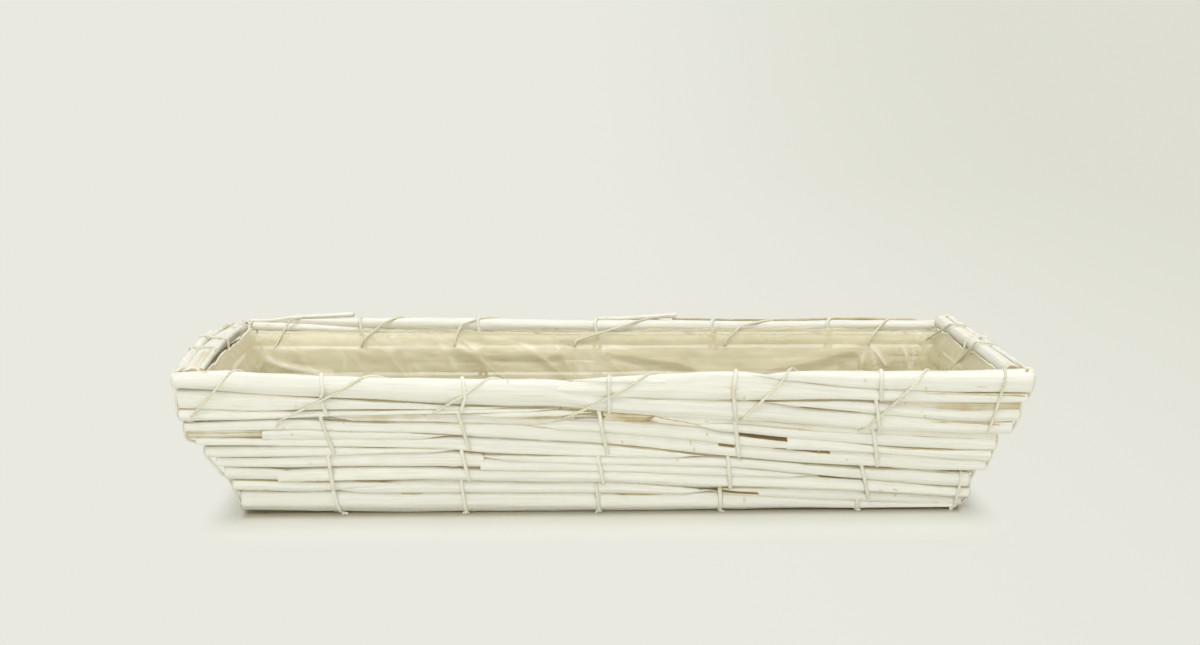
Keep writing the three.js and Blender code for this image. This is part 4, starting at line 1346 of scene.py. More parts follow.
@dataclass
class Twine:
    """Two-ply paper twine along a line of points."""

    name: str
    line: Array
    side: Array | None = None
    seed: int = 1
    diameter: float = 2.1
    wide: float = 1.0
    ply: float = 0.08
    lay: float = 5.5
    step: float = 0.85
    sides: int = 10
    ease: float = 1.3
    washed: float = 1.0

    def centre_line(self) -> tuple[Array, Array]:
        """Even, eased points of the twine and the directions that fix its turn."""
        points = self.line
        gaps = np.linalg.norm(np.diff(points, axis=0), axis=1)
        keep = np.concatenate([[True], gaps > 1e-6])
        points = points[keep]
        side = None if self.side is None else self.side[keep]
        run = np.concatenate([[0], np.cumsum(np.linalg.norm(np.diff(points, axis=0), axis=1))])
        even = np.linspace(0, run[-1], max(int(run[-1] / self.step), 4))
        eased = np.stack([np.interp(even, run, points[:, k]) for k in range(3)], axis=1)
        eased = blurred(eased, self.ease / self.step)
        eased[:, 2] = np.maximum(eased[:, 2], self.diameter / 2)
        if side is None:
            return eased, np.tile([1.0, 0.02, 0.03], (len(eased), 1))
        turned = np.stack([np.interp(even, run, side[:, k]) for k in range(3)], axis=1)
        return eased, turned

    def surface(self) -> Surface:
        """Skin of the twine: radius 1 + ply cos 2(a - 2 pi l / lay) at angle a and length l."""
        rng = np.random.default_rng(self.seed)
        centre, side = self.centre_line()
        tangent = np.gradient(centre, axis=0)
        tangent /= np.linalg.norm(tangent, axis=1, keepdims=True)
        normal = side - (side * tangent).sum(axis=1, keepdims=True) * tangent
        normal /= np.linalg.norm(normal, axis=1, keepdims=True)
        other = np.cross(tangent, normal)
        length = np.arange(len(centre)) * self.step
        angle = np.linspace(0, 2 * math.pi, self.sides, endpoint=False)
        twist = 2 * math.pi * length / self.lay + 0.6 * waves(length, rng, 60)
        radius = 1 + self.ply * np.cos(2 * (angle[None, :] - twist[:, None]))
        radius *= (1 + 0.06 * waves(length, rng, 45))[:, None] * self.diameter / 2
        normal *= self.wide
        turn = angle[None, :, None]
        across = np.cos(turn) * normal[:, None] + np.sin(turn) * other[:, None]
        points = centre[:, None] + radius[..., None] * across
        points[..., 2] = np.maximum(points[..., 2], 0.0)
        turns = np.linspace(0, math.pi * self.diameter, self.sides + 1)
        uv = np.stack(np.broadcast_arrays(length[:, None], turns[None, :]), axis=-1)
        # Painted shade in the groove between the plies, kept in the same mark that the reeds use for bare
        # wood
        groove_shade = 0.5 - 0.5 * np.cos(2 * (angle[None, :] - twist[:, None]))
        return Surface(points, uv, True, groove_shade, centre[[0, -1]], np.full(groove_shade.shape, self.washed))

    def build(self) -> Piece:
        """Makes the twine's object."""
        return self.surface().build(f"{self.name}_twine", 80.0)


# Outer strands of the tie columns on the front wall, from the rim down: ends as column, row, column, row
FRONT_TIES: tuple[tuple[tuple[float, float, float, float], ...], ...] = (
    (
        (322, 377, 320, 400), (321, 400, 328, 416), (320, 416, 335, 454.5), (328, 454.5, 334, 489.5),
        (333, 489.5, 343, 512),
    ),
    ((465, 382, 460, 413), (458, 413, 470, 450.5), (461, 450.5, 470, 480.5), (461, 480.5, 467, 512)),
    ((609, 378, 609, 414), (599, 414, 608, 456), (598, 456, 604, 485), (596, 485, 600, 512)),
    ((734, 374, 736, 421.5), (735, 421.5, 739, 457.5), (728, 457.5, 730, 490), (720, 490, 720, 510)),
    (
        (882, 375, 881, 400), (876, 400, 880, 433), (874, 433, 877, 467), (862, 467, 868, 498.5),
        (857, 498.5, 856, 508),
    ),
)

# Places between the courses at the right (1) and left (-1) end of the front wall, in pixels
FRONT_ENDS = {
    1: ((1035, 371.5), (1024, 402.5), (1000, 436), (980, 472.5), (966, 488.5), (956, 508)),
    -1: ((172, 374), (175, 390.5), (181, 422), (200, 445.5), (230, 480), (243, 512)),
}

# Knots at the foot of the front wall, in pixels
FOOT_KNOTS = ((345, 511), (466, 511), (599, 510), (720, 507), (857, 507), (951, 503))

# Ring round the lower courses at the right end, and loose tail of the lashing, in pixels
END_RING = ((962, 473.5), (953, 506))
LOOSE_TAIL = ((282, 417.5), (279, 422), (276.5, 426.5))

# Places of the tie columns on the back wall, as shares of its half length
TIE_SHARES = (-2 / 3, -1 / 3, 0.0, 1 / 3, 2 / 3)

# Plane outwards of the wall's middle on which the pixels of twine lie
TWINE_PLANE = 5.0


@dataclass(frozen=True)
class Strand:
    """Outer strand of a tie: its upper and lower end as (x, s) on a wall."""

    upper: tuple[float, float]
    lower: tuple[float, float]


@dataclass
class Ties:
    """All twined ties: five columns round the body, one on each end and one at each corner."""

    front: ReedWall
    right: ReedWall
    back: ReedWall
    left: ReedWall
    spare: float = 0.95
    flat: float = 1.35
    bottom: float = -7.6
    end_inset: float = 10.0
    end_plane: float = 2.5
    loop_depth: float = 6.0
    corner_out: float = 2.2
    corner_dive: float = 5.0
    knot_level: float = -3.4
    knot_out: float = 6.9
    knot_size: float = 0.68

    def even_strands(self, walled: ReedWall, line: Callable[[float], float], sway: float) -> list[Strand]:
        """Outer strands on the plain course gaps of a wall, along a line x(s), from the rim down."""
        gaps = walled.wall.gaps()
        marks = [walled.top(line(LAYOUT.rim_line))[0], *gaps, self.bottom]
        return [Strand((line(a) - sway, a), (line(b) + sway, b)) for a, b in zip(marks[:-1], marks[1:])]

    def pixel_strands(self, number: int) -> list[Strand]:
        """Outer strands of a front column, from their pixels."""
        rows = np.array(FRONT_TIES[number]).T
        upper_x, upper_s = VIEW.on_wall(FRONT, rows[0], rows[1], TWINE_PLANE)
        lower_x, lower_s = VIEW.on_wall(FRONT, rows[2], rows[3], TWINE_PLANE)
        lower_s[-1] = self.bottom
        upper_s[0] = self.front.top(float(upper_x[0]))[0]
        upper_s[1:] = lower_s[:-1]
        return [
            Strand((float(a), float(b)), (float(c), float(d)))
            for a, b, c, d in zip(upper_x, upper_s, lower_x, lower_s)
        ]

    def thread(self, walled: ReedWall, strands: Sequence[Strand], first: int) -> tuple[Array, int]:
        """One thread down a wall, outside over every second course and inside over the others.

        Args:
            walled: The wall and its reeds.
            strands: The outer strands, from the rim down.
            first: Side of the first course, 1 outside and -1 inside.

        Returns:
            Points from the rim to the foot, and the side of the last course.
        """
        parts = []
        side = first
        for number, strand in enumerate(strands):
            if side > 0:
                start, stop = strand.upper, strand.lower
            else:
                start = strands[number - 1].lower if number else (strand.lower[0], strand.upper[1])
                last = number + 1 == len(strands)
                stop = (strand.upper[0], strand.lower[1]) if last else strands[number + 1].upper
            parts.append(walled.lay(start, stop, side, self.spare, (number > 0, True)))
            side = -side
        return np.concatenate(parts), -side

    def under_base(self, x: float, side: float) -> Array:
        """Thread under and over the base reeds from the front to the back.

        Its height is the reeds' height + side (radius + spare) cos(pi (y - first) / pitch).
        """
        places = LAYOUT.base_places
        pitch = places[1] - places[0]
        y = np.linspace(places[0] - 0.5 * pitch, places[-1] + 0.5 * pitch, 120)
        swing = (LAYOUT.base_reed / 2 + self.spare) * np.cos(math.pi * (y - places[0]) / pitch)
        z = np.maximum(LAYOUT.base_height + side * swing, 1.0)
        sway = x + side * LAYOUT.twist * np.sin(math.pi * (y - places[0]) / pitch)
        return np.stack([sway, y, z], axis=1)

    def column(self, number: int) -> Twine:
        """Tie column: both threads of one folded twine, rim to rim under the base and back."""
        share = TIE_SHARES[number]
        ahead = self.pixel_strands(number)
        behind = self.even_strands(self.back, lambda s: -share * BACK.half_along(s), LAYOUT.twist)
        foot = ahead[-1].lower[0]
        halves = []
        for first in (1, -1):
            down, last = self.thread(self.front, ahead, first)
            base = self.under_base(foot, float(last))
            far_first = 1 if (len(behind) % 2 == 1) == (last > 0) else -1
            up, _ = self.thread(self.back, behind, -far_first)
            halves.append(np.concatenate([down, base, up[::-1]]))
        front_top = self.front.over_rim(ahead[0].lower[0], ahead[0].upper[0], self.spare)
        back_top = self.back.over_rim(behind[0].lower[0], behind[0].upper[0], self.spare)
        if np.linalg.norm(halves[0][-1] - back_top[0]) > np.linalg.norm(halves[0][-1] - back_top[-1]):
            back_top = back_top[::-1]
        line = np.concatenate([front_top, halves[0], back_top, halves[1][::-1], front_top[:1]])
        return Twine(f"tie_column_{number + 1}", line, None, 40 + number, wide=self.flat)

    def end_tie(self, walled: ReedWall) -> Twine:
        """Tie in the middle of an end wall, folded over the rim."""
        strands = self.even_strands(walled, lambda s: 0.0, LAYOUT.twist)
        outer, _ = self.thread(walled, strands, 1)
        inner, _ = self.thread(walled, strands, -1)
        over = walled.over_rim(strands[0].lower[0], strands[0].upper[0], self.spare)
        line = np.concatenate([inner[::-1], over, outer])
        side = np.tile(walled.wall.axes[0] + 0.02, (len(line), 1))
        return Twine(f"end_tie_{walled.wall.name}", line, side, 60, wide=self.flat)

    def corner_marks(self, walled: ReedWall, sign: int) -> list[float]:
        """Places up the slope between the courses at one end of a wall, from the rim's top to the foot."""
        if walled.wall is FRONT:
            pixels = np.array(FRONT_ENDS[sign], float)
            _, s = VIEW.on_wall(FRONT, *pixels.T, self.end_plane)
            return [float(place) for place in s]
        place = sign * (float(walled.wall.half_along(LAYOUT.rim_line)) - self.end_inset)
        s, _, high, _ = walled.top(place)
        return [s + 0.8 * high, *(float(gap) for gap in walled.wall.gaps()), self.bottom]

    def corner_course(self, walled: ReedWall, sign: int, upper: float, lower: float) -> Array:
        """Twine past one course at a corner: round the reed ends of a long wall, or over an end wall.

        Round the ends the twine is taut over their tips, and its own ends dive between the courses.

        Args:
            walled: The wall.
            sign: Which of its ends.
            upper: Upper place up the slope.
            lower: Lower place up the slope.

        Returns:
            Points from the upper to the lower place.
        """
        if not walled.wall.is_long:
            tops, bottoms = (float(walled.wall.half_along(s)) - self.end_inset for s in (upper, lower))
            return walled.lay((sign * tops, upper), (sign * bottoms, lower), 1, self.spare)
        share = np.linspace(-1, 1, 41)
        s = (upper + lower) / 2 - (upper - lower) / 2 * share
        reach = walled.tips(s, sign, self.spare)
        dive = reach[1:-1].min() - self.loop_depth
        reach[[0, -1]] = np.minimum(reach[[0, -1]] - 0.4 * self.loop_depth, dive + 0.6 * self.loop_depth)
        return walled.wall.point(sign * taut(reach), s, self.corner_out - self.corner_dive * share**6)

    def corner_tie(self, one: ReedWall, other: ReedWall, number: int) -> Twine:
        """Tie round a corner: each thread holds one wall and, a course lower, the other."""
        marks = [self.corner_marks(one, 1), self.corner_marks(other, -1)]
        halves = []
        for first in (0, 1):
            parts = []
            for course in range(len(marks[0]) - 1):
                which = (first + course) % 2
                upper, lower = marks[which][course : course + 2]
                parts.append(self.corner_course((one, other)[which], (1, -1)[which], upper, lower))
            halves.append(np.concatenate(parts))
        line = np.concatenate([halves[1][::-1], halves[0]])
        bisector = one.wall.axes[0] + other.wall.axes[0]
        side = np.tile(bisector + np.array([0, 0, 0.05]), (len(line), 1))
        return Twine(f"corner_tie_{one.wall.name}_{other.wall.name}", line, side, 70 + number)

    def knots(self) -> list[Twine]:
        """Small overhand knots with short tails where the columns and a corner tie end at the foot.

        A knot is the trefoil (sin t + 2 sin 2t, cos t - 2 cos 2t, -sin 3t), turned at random.
        """
        rng = np.random.default_rng(86)
        made = []
        turn = np.linspace(0.35, 2 * math.pi + 0.1, 90)
        trefoil = np.stack(
            [
                np.sin(turn) + 2 * np.sin(2 * turn), np.cos(turn) - 2 * np.cos(2 * turn),
                -1.3 * np.sin(3 * turn),
            ],
            axis=1,
        )
        for number, (px, py) in enumerate(FOOT_KNOTS):
            x, _ = VIEW.on_wall(FRONT, np.array(px), np.array(py), TWINE_PLANE)
            middle = FRONT.point(x, np.array(self.knot_level), np.array(self.knot_out))
            basis, _ = np.linalg.qr(rng.normal(size=(3, 3)))
            loop = self.knot_size * trefoil @ basis
            away = np.array([rng.uniform(-3.5, 3.5), -rng.uniform(1.5, 3.5), -rng.uniform(0.5, 2.5)])
            tail = loop[-1] + np.linspace(0.1, 1, 8)[:, None] * away
            line = middle + np.concatenate([loop, tail])
            made.append(Twine(
                f"foot_knot_{number + 1}", line, None, 86 + number, 1.5, step=0.45, ease=0.3,
            ))
        return made

    def extras(self) -> list[Twine]:
        """Ring of twine round the lower courses at the right end, and the loose tail of the lashing."""
        x, s = VIEW.on_wall(FRONT, *np.array(END_RING, float).T, TWINE_PLANE)
        start, stop = ((float(x[k]), float(s[k])) for k in (0, 1))
        outer, inner = (self.front.lay(start, stop, side, self.spare) for side in (1, -1))
        ring = np.concatenate([outer, inner[::-1], outer[:1]])
        x, s = VIEW.on_wall(FRONT, *np.array(LOOSE_TAIL, float).T, TWINE_PLANE)
        tail = FRONT.point(x, s, self.front.edge(x, s, 1, self.spare) + np.array([0.0, 0.4, 1.0]))
        return [
            Twine("end_ring", ring, None, 94),
            Twine("lashing_tail", tail, None, 95, 1.5, step=0.5, ease=0.4, washed=0.0),
        ]

    def build(self) -> list[tuple[Piece, str | None]]:
        """Makes every tie.

        Returns:
            The pieces with the names of the nodes they stand for.
        """
        made = [self.column(number) for number in range(len(FRONT_TIES))]
        made += [self.end_tie(self.left), self.end_tie(self.right)]
        ring = [self.front, self.right, self.back, self.left]
        for number, walled in enumerate(ring):
            made.append(self.corner_tie(walled, ring[(number + 1) % 4], number))
        pieces = [(twine.build(), twine.name) for twine in made]
        return pieces + [(twine.build(), None) for twine in self.knots() + self.extras()]


@dataclass
class RimLashing:
    """One long twine wound round the two upper courses of all four walls, through the foil."""

    walls: tuple[ReedWall, ReedWall, ReedWall, ReedWall]
    spare: float = 0.75
    edge_inside: float = 9.2
    diameter: float = 1.9
    front_lows: Line = (
        (190, 418), (280, 420), (432, 413), (561, 421), (740, 421), (860, 433), (987, 434),
    )
    front_highs: Line = (
        (231, 376), (365, 379), (488, 381), (650, 377), (790, 376), (927, 376), (1007, 376),
    )
    back_lows: tuple[float, ...] = (925, 868, 725, 575, 455, 362, 265)
    back_highs: tuple[float, ...] = (890, 770, 650, 490, 400, 300, 252)
    back_shallow: int = 6
    back_low_row: float = 345
    back_high_row: float = 318
    back_low_plane: float = -9.0
    back_high_plane: float = -5.0
    end_margin: float = 12.2
    hole_rise: float = 4.0
    right_turns: Line = ((-0.9, -0.4), (0.3, 0.7))
    left_turns: Line = ((0.1, 0.6),)

    def stitches(self) -> list[tuple[ReedWall, float, float, float]]:
        """Turns in order round the rim: wall, place of the low end, its s, and place of the high end."""
        front, right, back, left = self.walls
        low_x, low_s = VIEW.on_wall(FRONT, *np.array(self.front_lows, float).T, TWINE_PLANE)
        high_x, _ = VIEW.on_wall(FRONT, *np.array(self.front_highs, float).T, TWINE_PLANE)
        turns = [(front, float(a), float(b), float(c)) for a, b, c in zip(low_x, low_s, high_x)]
        turns += self.end_stitches(right, self.right_turns)
        level = np.ones(len(self.back_lows))
        back_low, _ = VIEW.on_wall(BACK, self.back_lows, self.back_low_row * level, self.back_low_plane)
        back_high, _ = VIEW.on_wall(
            BACK, self.back_highs, self.back_high_row * level, self.back_high_plane,
        )
        gaps = BACK.gaps()[(np.arange(len(level)) >= self.back_shallow).astype(int)]
        turns += [(back, float(a), float(b), float(c)) for a, b, c in zip(back_low, gaps, back_high)]
        turns += self.end_stitches(left, self.left_turns)
        return turns

    def end_stitches(self, walled: ReedWall, shares: Line) -> list[tuple[ReedWall, float, float, float]]:
        """Turns on an end wall, from the low and high ends as shares of its half length."""
        level = float(walled.wall.gaps()[1])
        span = float(walled.wall.half_corner(level)) - self.end_margin
        return [(walled, low * span, level, high * span) for low, high in shares]

    def twine(self) -> Twine:
        """Line of the lashing: out below the course, up over the rim, and down inside the foil."""
        turns = self.stitches()
        inside = LAYOUT.lash_inside
        parts, cores = [], []
        for number, (walled, low, level, high) in enumerate(turns):
            wall = walled.wall
            s, _, half, deep = walled.top(high)
            turn = math.pi / 2 * (half + deep)
            slope = (high - low) / (s - level + turn / 2)
            crest = low + slope * (s - level)
            outer = walled.lay((low, level), (crest, s), 1, self.spare, (True, False))
            over = walled.over_rim(crest + slope * turn, crest, self.spare, self.edge_inside)[::-1]
            next_wall, next_low, next_level, _ = turns[(number + 1) % len(turns)]
            stop = next_wall.wall.point(next_low, next_level + self.hole_rise, -inside)
            through = next_wall.wall.point(
                np.full(4, next_low), np.full(4, next_level), np.linspace(-inside, 0, 4)
            )
            share = np.linspace(0, 1, 24)[:, None]
            inner = over[-1] * (1 - share) + stop * share
            part = np.concatenate([outer, over, inner, through])
            core = wall.point(np.array((low + high) / 2), np.array((level + s) / 2), np.array(0.0))
            parts.append(part)
            cores.append(np.tile(core, (len(part), 1)))
        line = np.concatenate(parts)
        along = np.concatenate(cores)
        return Twine("rim_lashing", line, self.sideways(line, along), 90, self.diameter, washed=0.0)

    @staticmethod
    def sideways(line: Array, cores: Array) -> Array:
        """Directions from the middle of the bundle to the twine."""
        away = line - cores
        return away / np.maximum(np.linalg.norm(away, axis=1, keepdims=True), 1e-6)

    def holes(self) -> Array:
        """Places where the lashing passes through the foil."""
        places = [
            walled.wall.point(np.array(low), np.array(level), np.array(-LAYOUT.film_inside))
            for walled, low, level, _ in self.stitches()
        ]
        return np.array(places)

    def build(self) -> Piece:
        """Makes the lashing."""
        return self.twine().build()


@dataclass(frozen=True)
class FoilFold:
    """Fold of the foil on the back wall: its line in pixels, half width and height in millimetres, and the
    strength of a painted highlight along it.
    """

    line: Line
    width: float
    height: float
    painted_highlight: float


FOIL_FOLDS: tuple[FoilFold, ...] = (
    FoilFold(((268, 356), (272, 361), (284, 367), (302, 371), (330, 376)), 2.8, 1.8, 0.9),
    FoilFold(((866, 344), (864, 358), (863, 378)), 1.7, 1.3, 0.7),
    FoilFold(((869, 344), (874, 358), (881, 378)), 1.7, 1.3, 0.65),
    FoilFold(((870, 345), (878, 351), (888, 364)), 2.6, 2.4, 0.95),
    FoilFold(((864, 344), (842, 350), (806, 361), (764, 369), (700, 372)), 6.0, 3.0, 0.2),
    FoilFold(((906, 345), (909, 356), (910, 374)), 3.6, 1.8, 0.35),
    FoilFold(((936, 344), (934, 356), (931, 374)), 3.8, 1.8, 0.25),
    FoilFold(((401, 342), (470, 350), (560, 352)), 6.0, 2.5, 0.25),
    FoilFold(((610, 350), (680, 362), (720, 378)), 5.0, 2.5, 0.2),
)


@dataclass
class FoilLiner:
    """Clear foil that lines the basket: a tub that follows the walls, creased and gathered at stitches."""

    stitches: Array
    floor: float = 20.6
    edge: float = 104.0
    end_rise: float = 4.0
    left_rise: float = 2.5
    edge_out: float = 3.0
    corner: float = 16.0
    around: float = 1380.0
    columns: int = 680
    wall_rows: int = 48
    floor_rows: int = 9
    finer: float = 0.55
    finest: float = 0.69
    thickness: float = 0.12
    spine_half: float = 178.0
    floor_map: float = 60.0
    wall_map: float = 84.0
    seed: int = 300

    def ring(self, height: Array, inside: Array, turn: Array) -> Array:
        """Points round the tub: a rectangle with round corners, at a height and a distance inside.

        The way round is four straight runs, each with a quarter circle after it. A point is a place on the
        rectangle of the circles' middles plus the corner radius along the outward direction.

        Args:
            height: Heights above the ground.
            inside: Distances inside the middles of the walls.
            turn: Shares of the way round, from the left end of the front.

        Returns:
            The points.
        """
        reach_x = END_REACH + (height - LAYOUT.foot_centre) * math.tan(LAYOUT.end_lean)
        reach_y = LONG_REACH + (height - LAYOUT.foot_centre) * math.tan(LAYOUT.long_lean)
        straight_x = reach_x - inside / math.cos(LAYOUT.end_lean) - self.corner
        straight_y = reach_y - inside / math.cos(LAYOUT.long_lean) - self.corner
        arc = math.pi / 2 * self.corner
        lengths = np.stack(np.broadcast_arrays(*(2 * straight_x, arc, 2 * straight_y, arc) * 2), axis=-1)
        ends = np.cumsum(lengths, axis=-1)
        run = turn * ends[..., -1]
        part = np.clip((run[..., None] >= ends).sum(axis=-1), 0, 7)
        length, end = (np.take_along_axis(each, part[..., None], -1)[..., 0] for each in (lengths, ends))
        side, on_arc = part // 2, part % 2 == 1
        heading = math.pi / 2 * side
        outward = heading - math.pi / 2 + np.where(on_arc, (run - end + length) / self.corner, 0.0)
        left = np.where(on_arc, 0.0, end - run)
        x = straight_x * np.where(
            side < 2, 1, -1,
        ) - left * np.cos(heading) + self.corner * np.cos(outward)
        y = straight_y * np.where(
            side % 3, 1, -1,
        ) - left * np.sin(heading) + self.corner * np.sin(outward)
        return np.stack([x, y, height + 0 * run], axis=-1)

    def creases(self, round_it: Array, height: Array) -> tuple[Array, Array]:
        """How far the foil stands off the walls, in millimetres, and where it is creased.

        Sharp folds are ridges 1 - |sin| of slanting waves, weighted by slow patches.

        Args:
            round_it: Length round the tub.
            height: Height above the floor.

        Returns:
            The distance inwards, never negative, and the strength of the creases.
        """
        rng = np.random.default_rng(self.seed)
        total = np.zeros_like(round_it)
        lines = np.zeros_like(round_it)
        for _ in range(6):
            wave = rng.uniform(34, 110)
            slant = rng.uniform(-1.1, 1.1)
            phase = rng.uniform(0, 6.3)
            bend = 7 * np.sin(height / rng.uniform(18, 40) + rng.uniform(0, 6.3))
            ridge = 1 - np.abs(np.sin(math.pi * (round_it + slant * height + bend) / wave + phase))
            patch = smooth_step(np.sin(round_it / rng.uniform(45, 120) + rng.uniform(0, 6.3)), 0.1, 0.9)
            total += rng.uniform(0.8, 2.0) * ridge**3 * patch
            lines = np.maximum(lines, 0.16 * ridge**10 * patch)
        return total, lines

    def folds(self, points: Array) -> tuple[Array, Array]:
        """Folds of the picture on the back wall: a ridge exp(-(d / width)^2) about each line.

        Args:
            points: Points of the smooth tub.

        Returns:
            The distance inwards in millimetres and how pale the crease is, a painted highlight.
        """
        total = np.zeros(points.shape[:2])
        painted_highlight = np.zeros(points.shape[:2])
        slope = math.cos(LAYOUT.long_lean)
        level = points[..., 2] / slope + np.where(points[..., 1] > LONG_REACH / 2, 0.0, 1e3)
        for fold in FOIL_FOLDS:
            x, s = VIEW.on_wall(BACK, *np.array(fold.line, float).T, -LAYOUT.film_inside)
            places = BACK.point(x, s, np.full_like(x, -LAYOUT.film_inside))
            near = to_line(points[..., 0], level, np.stack([places[:, 0], places[:, 2] / slope], axis=1))
            total = np.maximum(total, fold.height * np.exp(-((near / fold.width) ** 2)))
            painted_highlight = np.maximum(painted_highlight, fold.painted_highlight * np.exp(-((near / (0.6 * fold.width)) ** 2)))
        return total, painted_highlight

    def gathers(self, round_it: Array, height: Array, ring: Array) -> tuple[Array, Array]:
        """Fans of folds below the stitches, and how far the stitches draw the foil to the wall.

        A fan is a cosine of the angle about the stitch, squared, that fades with the distance.

        Args:
            round_it: Length round the tub.
            height: Height above the floor.
            ring: Points of one row of the tub, to find where along it a stitch is.

        Returns:
            Distance inwards, and the share of it that is left near a stitch.
        """
        rng = np.random.default_rng(self.seed + 2)
        apart = np.linalg.norm(ring[:, None, :2] - self.stitches[None, :, :2], axis=-1)
        places = round_it[0][apart.argmin(axis=0)]
        total = np.zeros_like(round_it)
        left = np.ones_like(round_it)
        for place, level in zip(places, self.stitches[:, 2]):
            across = (round_it - place + self.around / 2) % self.around - self.around / 2
            up = height - level
            distance = np.hypot(across, up)
            angle = np.arctan2(up, across)
            size = rng.uniform(0.6, 1.5)
            reach = rng.uniform(14, 26)
            folds = (0.5 + 0.5 * np.cos(rng.integers(5, 9) * angle + rng.uniform(0, 6.3))) ** 2
            total += size * folds * smooth_step(distance, 3, 14) * np.exp(-distance / reach) * (up < 6)
            left *= 1 - 0.9 * np.exp(-((distance / 7) ** 2))
        return total, left

    def surface(self) -> Surface:
        """Tub from the middle of its floor to its edge.

        Rows run out over the floor and then up the walls; columns run round. The floor closes to a
        small slot at the middle line.

        Returns:
            The open surface.
        """
        even = np.linspace(0, 1, self.columns, endpoint=False)
        swing = np.sin(2 * math.pi * (even - self.finest)) + math.sin(2 * math.pi * self.finest)
        turn = even - self.finer * swing / (2 * math.pi)
        rise = np.linspace(0, 1, self.wall_rows)
        height = (self.floor + (self.edge - self.floor) * rise)[:, None] + 0 * turn[None, :]
        rng = np.random.default_rng(self.seed + 1)
        length = turn * self.around
        ragged = 1.1 * waves(length, rng, self.around / 6, 8)
        ragged += 0.4 * waves(length, rng, self.around / 31, 5)
        rough = self.ring(np.full(turn.shape, self.edge), np.full(turn.shape, LAYOUT.film_inside), turn)
        across = np.abs(rough[:, 0])
        ends = smooth_step(across, across.max() - 4, across.max() - 0.5)
        lift = ends * (self.end_rise + self.left_rise * (rough[:, 0] < 0))
        height = height + rise[:, None] ** 3 * (ragged + lift)[None, :]
        run = length[None, :] + 0 * height
        flat_ring = self.ring(height, LAYOUT.film_inside + 0 * height, turn[None, :] + 0 * height)
        fans, left = self.gathers(run, height, flat_ring[len(rise) // 2])
        ridges, lines = self.creases(run, height)
        folds, fold_highlight = self.folds(flat_ring)
        stand = (ridges + fans + folds) * left
        # Creases: denser doubled foil with a painted highlight
        crease_highlight = np.clip(np.maximum(lines, fold_highlight) + 0.06 * fans, 0, 1)
        fade = smooth_step(rise, 0.0, 0.15)[:, None] * (1 - 0.6 * smooth_step(rise, 0.7, 0.95)[:, None])
        inside = LAYOUT.film_inside - self.edge_out * smooth_step(rise, 0.78, 1.0)[:, None]
        walls = self.ring(height, inside + stand * fade, turn[None, :] + 0 * height)
        lowest = walls[0]
        shrink = np.linspace(0.001, 1, self.floor_rows, endpoint=False)[:, None, None]
        spine = lowest * np.array([1.0, 0.0, 1.0])
        spine[:, 0] = np.clip(spine[:, 0], -self.spine_half, self.spine_half)
        flat = spine[None] + (lowest - spine)[None] * shrink
        ripple = 0.9 * waves(flat[..., 0], rng, 160) * waves(flat[..., 1], rng, 90)
        flat[..., 2] += np.clip(ripple + 0.5, 0, 2.2) * (1 - shrink[..., 0] ** 6)
        points = np.concatenate([flat, walls])
        floor_depth = np.linspace(-self.floor_map, 0, self.floor_rows, endpoint=False)
        depth = np.concatenate([floor_depth, rise * self.wall_map])
        round_it = np.append(length, self.around)
        uv = np.stack(np.broadcast_arrays(round_it[None, :], depth[:, None]), axis=-1)
        marks = np.concatenate([np.zeros(flat.shape[:2]), crease_highlight])
        return Surface(points, uv, True, marks)

    def build(self) -> Piece:
        """Makes the liner and gives it its thickness."""
        piece = self.surface().build("foil_liner_sheet", 80.0)
        solid = piece.modifiers.new("thickness", "SOLIDIFY")
        solid.thickness = self.thickness * MM
        solid.offset = 0.0
        return piece


